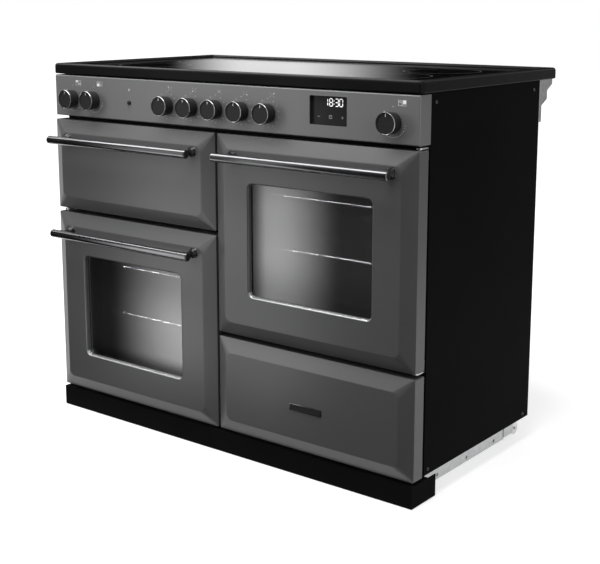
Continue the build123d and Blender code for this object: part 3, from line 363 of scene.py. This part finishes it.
wire_chrome, place, set_shader = new_finish("wire_chrome")
set_shader(
    Base_Color=place.noise(50.0).between((0.68, 0.68, 0.69), (0.85, 0.85, 0.86)),
    Roughness=0.1 + 0.1 * place.noise(80.0),
    Metallic=1.0,
)
dress(wire_chrome, "oven_shelves", "oven_side_racks")

bare_steel, place, set_shader = new_finish("bare_steel")
set_shader(
    Base_Color=place.noise(35.0).between((0.34, 0.34, 0.35), (0.48, 0.48, 0.49)),
    Roughness=0.28 + 0.18 * place.noise(110.0),
    Metallic=1.0,
)
dress(bare_steel, "left_oven_fan", "right_oven_fan", "fan_motors", "grill_element", "door_hinges")
dress(bare_steel, "drawer_box", "drawer_runners")

seal_rubber, place, set_shader = new_finish("seal_rubber")
set_shader(
    Base_Color=place.noise(70.0).between((0.012, 0.012, 0.012), (0.022, 0.022, 0.022)),
    Roughness=0.62 + 0.1 * place.noise(240.0),
)
dress(seal_rubber, "oven_door_seals")

# Control panel: a folded tray of steel sheet in satin slate paint with a fine metallic flake.
# White marks are screen printed around the knobs, above them and beside the button.

slate, place, set_shader = new_finish("slate_satin_paint")
flake = place.noise(2600.0, 1.0)
cloud = place.noise(3.0, 3.0)
set_shader(
    Base_Color=(0.5 * flake + 0.5 * cloud).between((0.06, 0.06, 0.0615), (0.086, 0.086, 0.088)),
    Roughness=0.36 + 0.08 * flake,
    Metallic=0.35,
    Normal=(place.noise(420.0) + 0.3 * flake).bump(0.00006, 0.5),
)
dress(slate, "grill_door_skin", "left_oven_door_skin", "right_oven_door_skin", "drawer_front")

# The panel's slate is a lighter copy of the doors' slate: painted light standing in for the light the
# upright panel catches.
panel_painted_light_slate, place, set_shader = new_finish("panel_painted_light_satin")
flake = place.noise(2600.0, 1.0)
cloud = place.noise(3.0, 3.0)
set_shader(
    Base_Color=(0.5 * flake + 0.5 * cloud).between((0.125, 0.125, 0.127), (0.16, 0.16, 0.163)),
    Roughness=0.36 + 0.08 * flake,
    Metallic=0.35,
    Normal=(place.noise(420.0) + 0.3 * flake).bump(0.00006, 0.5),
)
dress(panel_painted_light_slate, "control_panel")

panel_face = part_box("control_panel")[0].y
ink = 0.0002


def ink_patch(width, height, x, z, face, line=0.0):
    """Flat printed patch on a face that looks to the front, or only its outline if a line is given."""
    place = (x, face - ink / 2, z)
    patch = begin("ink_patch", bpy.ops.mesh.primitive_plane_add, size=1.0, location=place)
    patch.rotation_euler.x = math.radians(90.0)
    patch.scale = (width, height, 1.0)
    bpy.ops.object.transform_apply(location=True, rotation=True, scale=True)
    if line:
        bpy.ops.object.mode_set(mode="EDIT")
        bpy.ops.mesh.select_all(action="SELECT")
        bpy.ops.mesh.inset(thickness=line)
        bpy.ops.mesh.delete(type="FACE")
        bpy.ops.object.mode_set(mode="OBJECT")
    wall = patch.modifiers.new("wall", "SOLIDIFY")
    wall.thickness = ink
    wall.offset = 0.0
    bpy.ops.object.modifier_apply(modifier="wall")
    return patch


def ink_dot(radius, x, z, face):
    """Small round printed dot with a bevelled rim."""
    dot = begin(
        "ink_dot",
        bpy.ops.mesh.primitive_cylinder_add,
        vertices=14,
        radius=radius,
        depth=ink,
        location=(x, face - ink / 2, z),
        rotation=(math.radians(90.0), 0.0, 0.0),
    )
    bpy.ops.object.transform_apply(location=True, rotation=True, scale=True)
    bpy.ops.object.mode_set(mode="EDIT")
    bpy.ops.mesh.select_all(action="SELECT")
    bpy.ops.mesh.bevel(offset=ink / 4, segments=1)
    bpy.ops.object.mode_set(mode="OBJECT")
    return dot


def copied(piece, step):
    """Copy of a piece with its own mesh, moved by a step."""
    twin = piece.copy()
    twin.data = piece.data.copy()
    bpy.context.scene.collection.objects.link(twin)
    twin.location = piece.location + Vector(step)
    return twin


def joined(name, pieces):
    """One piece made of several."""
    bpy.ops.object.select_all(action="DESELECT")
    for piece in pieces:
        piece.select_set(True)
    bpy.context.view_layer.objects.active = pieces[0]
    bpy.ops.object.join()
    pieces[0].name = name
    pieces[0].data.name = name
    return pieces[0]


white_ink, place, set_shader = new_finish("white_ink")
set_shader(
    Base_Color=place.noise(900.0).between((0.62, 0.62, 0.62), (0.82, 0.82, 0.82)),
    Roughness=0.5 + 0.1 * place.noise(400.0),
)

mark_ring, mark_radius, top_mark_gap = 0.0305, 0.0008, 0.002
icon_lift, oven_icon_step, zone_icon_step = 0.0405, 0.022, 0.012
icon_cell, icon_pitch, icon_line = 0.0085, 0.0105, 0.0005
zone_dot, plain_dot, dot_step_x, dot_step_z = 0.0013, 0.0006, 0.005, 0.003
oven_knobs = ("grill_knob", "left_oven_knob", "right_oven_knob")
knob_nodes = sorted(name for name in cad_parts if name.endswith("_knob") or "_knob_" in name)
for node in knob_nodes:
    low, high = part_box(node)
    knob_x, knob_z = (low.x + high.x) / 2, (low.z + high.z) / 2
    first, last, count = (-10.0, -225.0, 21) if node in oven_knobs else (60.0, -240.0, 13)
    dot = ink_dot(mark_radius, 0.0, 0.0, panel_face)
    marks = []
    for index in range(count):
        turn = math.radians(first + (last - first) * index / (count - 1))
        mark_x = knob_x + mark_ring * math.cos(turn)
        mark_z = knob_z + mark_ring * math.sin(turn)
        marks.append(copied(dot, (mark_x, 0.0, mark_z)))
    marks.append(copied(dot, (knob_x, 0.0, knob_z + mark_ring + top_mark_gap)))
    bpy.data.objects.remove(dot)
    icon_z = knob_z + icon_lift
    if node in oven_knobs:
        icon_x = knob_x + oven_icon_step
        filled = {"grill_knob": (0, 1), "left_oven_knob": (0, 0), "right_oven_knob": (1, 1)}[node]
        for column in (0, 1):
            tall_row = 0 if column == 0 else 1
            for row in (0, 1):
                height = 0.007 if row == tall_row else 0.0035
                line = 0.0 if (column, row) == filled else icon_line
                offset = 0.0022 if row == 1 else -0.0022 if row == tall_row else -0.004
                if row == 1 and tall_row == 0:
                    offset = 0.0042
                cell_x = icon_x + (column - 0.5) * icon_pitch
                cell_z = icon_z + offset
                marks.append(ink_patch(icon_cell, height, cell_x, cell_z, panel_face, line))
    else:
        zone = {
            "hob_knob_rear_left": (-1, 1),
            "hob_knob_front_left": (-1, -1),
            "hob_knob_centre": (0, 0),
            "hob_knob_front_right": (1, -1),
            "hob_knob_rear_right": (1, 1),
        }[node]
        for spot in ((-1, 1), (-1, -1), (0, 0), (1, -1), (1, 1)):
            radius = zone_dot if spot == zone else plain_dot
            spot_x = knob_x + zone_icon_step + dot_step_x * spot[0]
            spot_z = icon_z + dot_step_z * spot[1]
            marks.append(ink_dot(radius, spot_x, spot_z, panel_face))
    settle(joined(f"{node}_marks", marks), white_ink, "cabinet", smooth=0.0)

button_low, button_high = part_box("light_button")
button_x = (button_low.x + button_high.x) / 2
lamp_lift, bulb_radius, ray_radius, ray_reach = 0.026, 0.0016, 0.0005, 0.004
lamp_z = button_high.z + lamp_lift
lamp_marks = [ink_dot(bulb_radius, button_x, lamp_z, panel_face)]
for turn in (35.0, 90.0, 145.0, 215.0, 325.0):
    ray = math.radians(turn)
    ray_x = button_x + ray_reach * math.cos(ray)
    ray_z = lamp_z + ray_reach * math.sin(ray)
    lamp_marks.append(ink_dot(ray_radius, ray_x, ray_z, panel_face))
settle(joined("lamp_marks", lamp_marks), white_ink, "cabinet", smooth=0.0)

switch_plastic, place, set_shader = new_finish("switch_plastic")
set_shader(
    Base_Color=place.noise(40.0).between((0.24, 0.24, 0.24), (0.32, 0.32, 0.32)),
    Roughness=0.5 + 0.1 * place.noise(200.0),
)
dress(switch_plastic, "control_switches")

# Display: a black moulded module clipped behind the panel's window, with a smoked front. Lit bars
# behind it make the digits of the clock, and dimmer touch marks stand in a row below them.

display_glass, place, set_shader = new_finish("display_glass")
set_shader(
    Base_Color=place.noise(4.0).between((0.012, 0.012, 0.013), (0.018, 0.018, 0.019)),
    Roughness=0.16 + 0.05 * place.noise(60.0),
    Specular_IOR_Level=0.3,
)
dress(display_glass, "display_module")

lit, place, set_shader = new_finish("lit_digit")
set_shader(
    Base_Color=(0.9, 0.9, 0.9, 1.0),
    Roughness=0.4,
    Emission_Color=place.noise(500.0).between((0.85, 0.86, 0.87), (1.0, 1.0, 1.0)),
    Emission_Strength=0.6,
)
dim, place, set_shader = new_finish("dim_touch_mark")
set_shader(
    Base_Color=place.noise(500.0).between((0.22, 0.22, 0.22), (0.3, 0.3, 0.3)),
    Roughness=0.4,
)
display_low, display_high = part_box("display_module")
display_edge, display_sunk = 0.004, 0.008
display_floor = panel_face + display_sunk
display_left = display_low.x + display_edge
display_top = display_high.z - display_edge
stroke = 0.0019
digit_width, digit_height, clock_drop = 0.008, 0.0155, 0.0135
colon_x, colon_rise, colon_radius = 0.059, 0.0035, 0.0011
segments = {
    "top": (0.0, 1.0, True),
    "middle": (0.0, 0.0, True),
    "bottom": (0.0, -1.0, True),
    "upper_left": (-1.0, 0.5, False),
    "upper_right": (1.0, 0.5, False),
    "lower_left": (-1.0, -0.5, False),
    "lower_right": (1.0, -0.5, False),
}
shapes = {
    "1": ("upper_right", "lower_right"),
    "8": tuple(segments),
    "3": ("top", "middle", "bottom", "upper_right", "lower_right"),
    "0": ("top", "bottom", "upper_left", "upper_right", "lower_left", "lower_right"),
}
clock = []
for digit, start in (("1", 0.0385), ("8", 0.0515), ("3", 0.0665), ("0", 0.0775)):
    for name in shapes[digit]:
        sideways, upwards, level = segments[name]
        width, height = (digit_width - stroke, stroke) if level else (stroke, digit_height / 2 - stroke)
        x = display_left + start + sideways * digit_width / 2
        z = display_top - clock_drop + upwards * digit_height / 2
        clock.append(ink_patch(width, height, x, z, display_floor))
for lift in (-colon_rise, colon_rise):
    z = display_top - clock_drop + lift
    clock.append(ink_dot(colon_radius, display_left + colon_x, z, display_floor))
settle(joined("clock_digits", clock), lit, "cabinet", smooth=0.0)

touch_drop, touch_line, touch_arm, touch_square = 0.0445, 0.0012, 0.006, 0.0075
square_line, hand_length, hand_rise = 0.001, 0.003, 0.0008
touch_z = display_top - touch_drop
minus_x, square_x, plus_x = (display_left + step for step in (0.019, 0.05, 0.081))
touch = [
    ink_patch(touch_arm, touch_line, minus_x, touch_z, display_floor),
    ink_patch(touch_arm, touch_line, plus_x, touch_z, display_floor),
    ink_patch(touch_line, touch_arm, plus_x, touch_z, display_floor),
    ink_patch(touch_square, touch_square, square_x, touch_z, display_floor, square_line),
    ink_patch(square_line, hand_length, square_x, touch_z + hand_rise, display_floor),
]
settle(joined("touch_marks", touch), dim, "cabinet", smooth=0.0)

# Knobs: turned barrels in black satin plastic, pushed on to the spindles of the switches. A bright
# plated ring is pressed on to the front edge of each, and a white pointer is printed in its dish.

knob_black, place, set_shader = new_finish("knob_black")
set_shader(
    Base_Color=place.noise(160.0).between((0.011, 0.011, 0.0115), (0.018, 0.018, 0.0185)),
    Roughness=0.36 + 0.1 * place.noise(500.0),
    Specular_IOR_Level=0.15,
    Normal=place.noise(900.0).bump(0.00005, 0.5),
)
dress(knob_black, "light_button", *knob_nodes)

bright_chrome, place, set_shader = new_finish("bright_chrome")
set_shader(
    Base_Color=place.noise(60.0).between((0.24, 0.24, 0.245), (0.32, 0.32, 0.325)),
    Roughness=0.16 + 0.08 * place.noise(200.0),
    Metallic=1.0,
)
ring_profile = [
    (0.0218, -0.0011),
    (0.0218, 0.0003),
    (0.0222, 0.0006),
    (0.0229, 0.0005),
    (0.0234, -0.0002),
    (0.0237, -0.0012),
    (0.0237, -0.0018),
    (0.0233, -0.0019),
]
knob_dish = 0.0012
pointer_width, pointer_length, pointer_lift = 0.0012, 0.006, 0.0165
for node in knob_nodes:
    low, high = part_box(node)
    knob_x, knob_z = (low.x + high.x) / 2, (low.z + high.z) / 2
    ring = turned(f"{node}_ring", ring_profile, (knob_x, low.y, knob_z), steps=56)
    settle(ring, bright_chrome, node)
    pointer_z = knob_z + pointer_lift
    pointer = ink_patch(pointer_width, pointer_length, knob_x, pointer_z, low.y + knob_dish)
    pointer.name = f"{node}_pointer"
    settle(pointer, white_ink, node, smooth=0.0)

# Doors: pressed steel skins in slate paint over liners in black enamel, with two panes of smoked
# glass in each oven door. Dark chrome bars with black end plugs stand on turned posts, each set in
# a thin collar, and a rounded bead trims the edge of each window.

dark_chrome, place, set_shader = new_finish("dark_chrome")
set_shader(
    Base_Color=place.noise(25.0).between((0.10, 0.10, 0.103), (0.14, 0.14, 0.143)),
    Roughness=0.12 + 0.06 * place.noise(70.0),
    Metallic=1.0,
)
doors = ("grill_door", "left_oven_door", "right_oven_door")
dress(dark_chrome, *[f"{door}_handle_bar" for door in doors])
for door in doors:
    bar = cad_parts[f"{door}_handle_bar"].data
    bar.materials.append(knob_black)
    for face in bar.polygons:
        face.material_index = 1 if abs(face.normal.x) > 0.99 else 0
dress(black_enamel, *[f"{door}_{part}" for door in doors for part in ("handle_posts", "liner")])


def pressed(node, body):
    """Copy of a pressed sheet whose bends shade as smoothly as the press leaves them."""
    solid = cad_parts[node]
    piece = bpy.data.objects.new(f"{node}_pressing", solid.data.copy())
    bpy.context.scene.collection.objects.link(piece)
    bpy.ops.object.select_all(action="DESELECT")
    piece.select_set(True)
    bpy.context.view_layer.objects.active = piece
    bpy.ops.object.mode_set(mode="EDIT")
    bpy.ops.mesh.select_all(action="SELECT")
    bpy.ops.mesh.remove_doubles(threshold=0.00001)
    bpy.ops.mesh.dissolve_limited(angle_limit=math.radians(0.3))
    bpy.ops.object.mode_set(mode="OBJECT")
    settle(piece, slate, body)
    even = piece.modifiers.new("even", "WEIGHTED_NORMAL")
    even.keep_sharp = True
    even.weight = 80
    bpy.ops.object.modifier_apply(modifier="even")
    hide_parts(node)


for door in doors:
    pressed(f"{door}_skin", door)
pressed("drawer_front", "drawer")

bead_paint, place, set_shader = new_finish("window_bead_paint")
set_shader(
    Base_Color=place.noise(3.0, 3.0).between((0.07, 0.07, 0.072), (0.095, 0.095, 0.097)),
    Roughness=0.26 + 0.06 * place.noise(300.0),
    Metallic=0.35,
)
# The upward faces of each bead get this much lighter, more metallic copy of the bead's paint: a painted
# highlight where the top light falls on the window sill.
painted_sill_highlight, place, set_shader = new_finish("window_painted_sill_highlight")
set_shader(
    Base_Color=place.noise(3.0, 3.0).between((0.30, 0.30, 0.305), (0.36, 0.36, 0.365)),
    Roughness=0.22 + 0.06 * place.noise(300.0),
    Metallic=0.6,
)
window_width, window_height, window_radius = 0.342, 0.266, 0.016
bead_width, bead_depth, bead_steps = 0.0042, 0.0088, 7
bead_lap, bead_proud = 0.001, 0.0003
for door in doors[1:]:
    low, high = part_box(f"{door}_outer_glass")
    face_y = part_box(f"{door}_skin")[0].y
    middle = ((low.x + high.x) / 2, face_y - bead_proud, (low.z + high.z) / 2)
    name = f"{door}_window_bead"
    bead = begin(name, bpy.ops.mesh.primitive_plane_add, size=1.0, location=middle)
    bead.rotation_euler.x = math.radians(90.0)
    bead.scale = (window_width + bead_lap, window_height + bead_lap, 1.0)
    bpy.ops.object.transform_apply(location=True, rotation=True, scale=True)
    bpy.ops.object.mode_set(mode="EDIT")
    bpy.ops.mesh.select_all(action="SELECT")
    bpy.ops.mesh.bevel(offset=window_radius, segments=8, affect="VERTICES")
    bpy.ops.mesh.select_all(action="SELECT")
    for step in range(bead_steps):
        before = math.radians(90.0 * step / bead_steps)
        after = math.radians(90.0 * (step + 1) / bead_steps)
        inwards = bead_width * (math.sin(after) - math.sin(before))
        backwards = bead_depth * (math.cos(before) - math.cos(after))
        bpy.ops.mesh.inset(thickness=inwards, depth=-backwards)
    bpy.ops.mesh.delete(type="FACE")
    bpy.ops.object.mode_set(mode="OBJECT")
    settle(bead, bead_paint, door, smooth=60.0)
    # Faces that look upwards take the painted highlight.
    bead.data.materials.append(painted_sill_highlight)
    for face in bead.data.polygons:
        face.material_index = 1 if face.normal.z > 0.25 else 0

collar_profile = [
    (0.0121, 0.0),
    (0.0129, 0.0),
    (0.013, 0.0008),
    (0.0127, 0.0013),
    (0.0121, 0.0013),
]
for door in doors:
    posts_low, posts_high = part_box(f"{door}_handle_posts")
    foot = (posts_high.z - posts_low.z) / 2
    for end, post_x in (("left", posts_low.x + foot), ("right", posts_high.x - foot)):
        middle = (post_x, posts_high.y, (posts_low.z + posts_high.z) / 2)
        collar = turned(f"{door}_{end}_collar", collar_profile, middle, steps=40)
        settle(collar, dark_chrome, door)

for pane, tint in (("outer", 0.56), ("inner", 0.15)):
    smoked_glass, place, set_shader = new_finish(f"{pane}_oven_glass")
    set_shader(
        Base_Color=place.noise(3.0).between((0.004, 0.004, 0.0045), (0.007, 0.007, 0.0075)),
        Roughness=0.04 + 0.03 * place.noise(12.0),
        Specular_IOR_Level=1.0,
        IOR=1.8,
        Alpha=tint + 0.04 * place.noise(7.0),
    )
    dress(smoked_glass, *[f"{door}_{pane}_glass" for door in doors[1:]])

# Drawer plate: a slim bare plate in dark chrome with a raised rim around a black field. It is a
# small casting with softened edges, pinned to the face of the storage drawer.

plate_width, plate_height, plate_thickness = 0.088, 0.016, 0.0024
plate_x, plate_z = 0.269, 0.166
plate_rim, rim_slope, field_sunk, field_area = 0.0012, 0.0003, 0.0008, 0.0005
drawer_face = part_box("drawer_front")[0].y
plate_place = (plate_x, drawer_face - plate_thickness / 2, plate_z)
plate = begin("drawer_plate", bpy.ops.mesh.primitive_cube_add, size=1.0, location=plate_place)
plate.scale = (plate_width, plate_thickness, plate_height)
bpy.ops.object.transform_apply(location=True, rotation=True, scale=True)
bpy.ops.object.mode_set(mode="EDIT")
bpy.ops.mesh.select_all(action="SELECT")
bpy.ops.mesh.bevel(offset=plate_edge, segments=2)
bpy.ops.mesh.select_all(action="DESELECT")
bpy.ops.object.mode_set(mode="OBJECT")
for face in plate.data.polygons:
    face.select = face.normal.y < -0.99
bpy.ops.object.mode_set(mode="EDIT")
bpy.ops.mesh.inset(thickness=plate_rim, depth=0.0)
bpy.ops.mesh.inset(thickness=rim_slope, depth=-field_sunk)
bpy.ops.object.mode_set(mode="OBJECT")
settle(plate, dark_chrome, "drawer")
plate.data.materials.append(knob_black)
for face in plate.data.polygons:
    face.material_index = 1 if face.normal.y < -0.99 and face.area > field_area else 0

# Studio: a pale floor under large soft boxes, inside a white surround. Boards that only gloss sees
# put the broad highlights on glass and metal, and small lamps in the ovens pick out the shelf wires.


def seen(tree):
    """One for rays from the camera, from gloss and through glass, and nought for diffuse light."""
    path = tree.nodes.new("ShaderNodeLightPath")
    camera, gloss, glass = (
        Strand(tree, path.outputs[f"Is {kind} Ray"]) for kind in ("Camera", "Glossy", "Transmission")
    )
    total = camera + gloss + glass
    return total.maths("MINIMUM", total, 1.0)


world = bpy.data.worlds.new("studio")
world.use_nodes = True
bpy.context.scene.world = world
surround = world.node_tree.nodes["Background"]
surround.inputs["Color"].default_value = (1.0, 1.0, 1.0, 1.0)
view = seen(world.node_tree)
world.node_tree.links.new((0.45 + 0.55 * view).socket, surround.inputs["Strength"])

floor = begin("studio_floor", bpy.ops.mesh.primitive_plane_add, size=30.0, location=(0.0, 0.0, -0.0005))
floor_paint, place, set_shader = new_finish("studio_floor_paint")
path = floor_paint.node_tree.nodes.new("ShaderNodeLightPath")
bounced = Strand(floor_paint.node_tree, path.outputs["Is Diffuse Ray"])
set_shader(
    Base_Color=bounced.between((0.6, 0.6, 0.6), (0.15, 0.15, 0.15)),
    Roughness=0.9,
    Specular_IOR_Level=0.0,
)
# The floor's glow is weaker near the cooker and rises to white about 2.6 m out: painted shade around the
# cooker, under which its own shadow shows.
reach = place.put("ShaderNodeVectorMath", {0: place}, out="Value", operation="LENGTH")
painted_shade_fade = reach.put("ShaderNodeMapRange", {"Value": reach, "From Min": 0.7, "From Max": 2.6})
glow = seen(floor_paint.node_tree) * (0.58 + 0.32 * painted_shade_fade)
set_shader(Emission_Color=glow.between((0.0, 0.0, 0.0), (1.0, 1.0, 1.0)), Emission_Strength=1.0)
floor.data.materials.append(floor_paint)


def studio_card(name, low, high, strength, stops, rise=((0.0, 1.0), (1.0, 1.0))):
    """Board that only gloss sees, with stops of brightness along X and a rise along its height."""
    middle = [(a + b) / 2 for a, b in zip(low, high)]
    card = begin(name, bpy.ops.mesh.primitive_plane_add, size=1.0, location=middle)
    upright = high[2] - low[2] > high[1] - low[1]
    card.rotation_euler.x = math.radians(90.0) if upright else 0.0
    card.scale = (high[0] - low[0], high[2] - low[2] if upright else high[1] - low[1], 1.0)
    board, place, set_shader = new_finish(f"{name}_board")
    axes = place.put("ShaderNodeSeparateXYZ", {"Vector": place})
    upwards = Strand(axes.tree, axes.socket.node.outputs["Y"])
    glow = 1.0
    for run, marks in ((axes + 0.5, stops), (upwards + 0.5, rise)):
        ramp = run.put("ShaderNodeValToRGB", {"Fac": run}, stops=marks)
        ramp.socket.node.color_ramp.interpolation = "EASE"
        glow = glow * ramp
    set_shader(
        Base_Color=(0.0, 0.0, 0.0, 1.0),
        Roughness=1.0,
        Specular_IOR_Level=0.0,
        Emission_Color=glow.between((0.0, 0.0, 0.0), (1.0, 1.0, 1.0)),
        Emission_Strength=strength,
    )
    card.data.materials.append(board)
    for rays in ("camera", "diffuse", "transmission", "volume_scatter", "shadow"):
        setattr(card, f"visible_{rays}", False)


studio_card(
    "front_card",
    (-1.6, -0.62, 0.003),
    (0.9, -0.62, 1.5),
    3.2,
    [
        (0.342, 0.02),
        (0.465, 1.0),
        (0.5, 1.0),
        (0.553, 0.1),
        (0.567, 0.18),
        (0.587, 0.88),
        (0.596, 0.9),
        (0.682, 0.05),
    ],
    [(0.0, 0.12), (0.035, 0.9), (0.09, 1.0), (0.19, 0.6), (0.27, 1.0), (0.34, 0.9), (0.45, 0.3)],
)
studio_card(
    "rear_card",
    (-3.4, 1.5, 0.3),
    (0.6, 1.5, 2.0),
    1.05,
    [(0.38, 0.0), (0.5, 1.0), (0.555, 1.0), (0.71, 0.0)],
)
dark, even = [(0.0, 0.0), (1.0, 0.0)], [(0.0, 1.0), (1.0, 1.0)]
from_left = [(0.0, 0.0), (0.25, 1.0), (1.0, 1.0)]
studio_card("floor_card", (-1.6, -1.3, 0.003), (0.9, -0.34, 0.003), 0.0, dark)
studio_card("right_card", (0.9, 1.5, 0.0), (3.4, 1.5, 2.0), 0.5, even)
studio_card("bar_card", (-3.3, -1.15, 2.6), (-0.8, -0.75, 2.6), 8.0, even)
studio_card("wide_bar_card", (-2.8, -2.0, 2.62), (-0.75, 1.0, 2.62), 7.0, from_left)


def soft_box(name, place, towards, width, height, power):
    """Rectangular lamp that faces a point."""
    lamp = bpy.data.lights.new(name, "AREA")
    lamp.shape = "RECTANGLE"
    lamp.size = width
    lamp.size_y = height
    lamp.energy = power
    holder = bpy.data.objects.new(name, lamp)
    bpy.context.scene.collection.objects.link(holder)
    holder.location = place
    aim = holder.location - Vector(towards)
    holder.rotation_euler = aim.to_track_quat("Z", "Y").to_euler()
    return holder


soft_box("top_box", (-0.1, -0.9, 3.0), (0.0, -0.1, 0.6), 2.6, 1.4, 122.0)
soft_box("left_box", (-2.3, -2.6, 1.8), (0.0, -0.2, 0.5), 1.0, 2.0, 36.0)
soft_box("right_box", (2.4, -1.4, 1.5), (0.4, -0.2, 0.5), 1.0, 1.6, 10.0)
shelf_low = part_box("oven_shelves")[0]
shelf_rise, wire_lift, lamp_shift = 0.124, 0.003, 0.02
lamp_inset, wire_inset, lamp_gap = 0.006, 0.024, 0.05
lamp_width, lamp_depth = 0.3, 0.02
for door, power in zip(doors[1:], (0.8, 0.75)):
    low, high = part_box(door.replace("_door", "_cavity"))
    middle = (low.x + high.x) / 2 - lamp_shift
    cavity_lift = low.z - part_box("left_oven_cavity")[0].z
    for shelf in (0, 1):
        name = f"{door}_lamp_{shelf + 1}"
        shelf_z = shelf_low.z + wire_lift + shelf * shelf_rise + cavity_lift
        lamp_place = (middle, low.y + lamp_inset, shelf_z + lamp_gap)
        wire_place = (middle, low.y + wire_inset, shelf_z)
        lamp = soft_box(name, lamp_place, wire_place, lamp_width, lamp_depth, power)
        lamp.visible_camera = False

camera = bpy.data.cameras.new("camera")
camera.sensor_width = 36.0
camera.lens = 70.25
camera.shift_y = -0.1
viewer = bpy.data.objects.new("camera", camera)
bpy.context.scene.collection.objects.link(viewer)
camera_dip, camera_turn = 10.72, 37.91
viewer.location = (1.785, -2.245, 1.061)
viewer.rotation_euler = (math.radians(90.0 - camera_dip), 0.0, math.radians(camera_turn))
bpy.context.scene.camera = viewer
bpy.context.scene.view_settings.view_transform = "Standard"
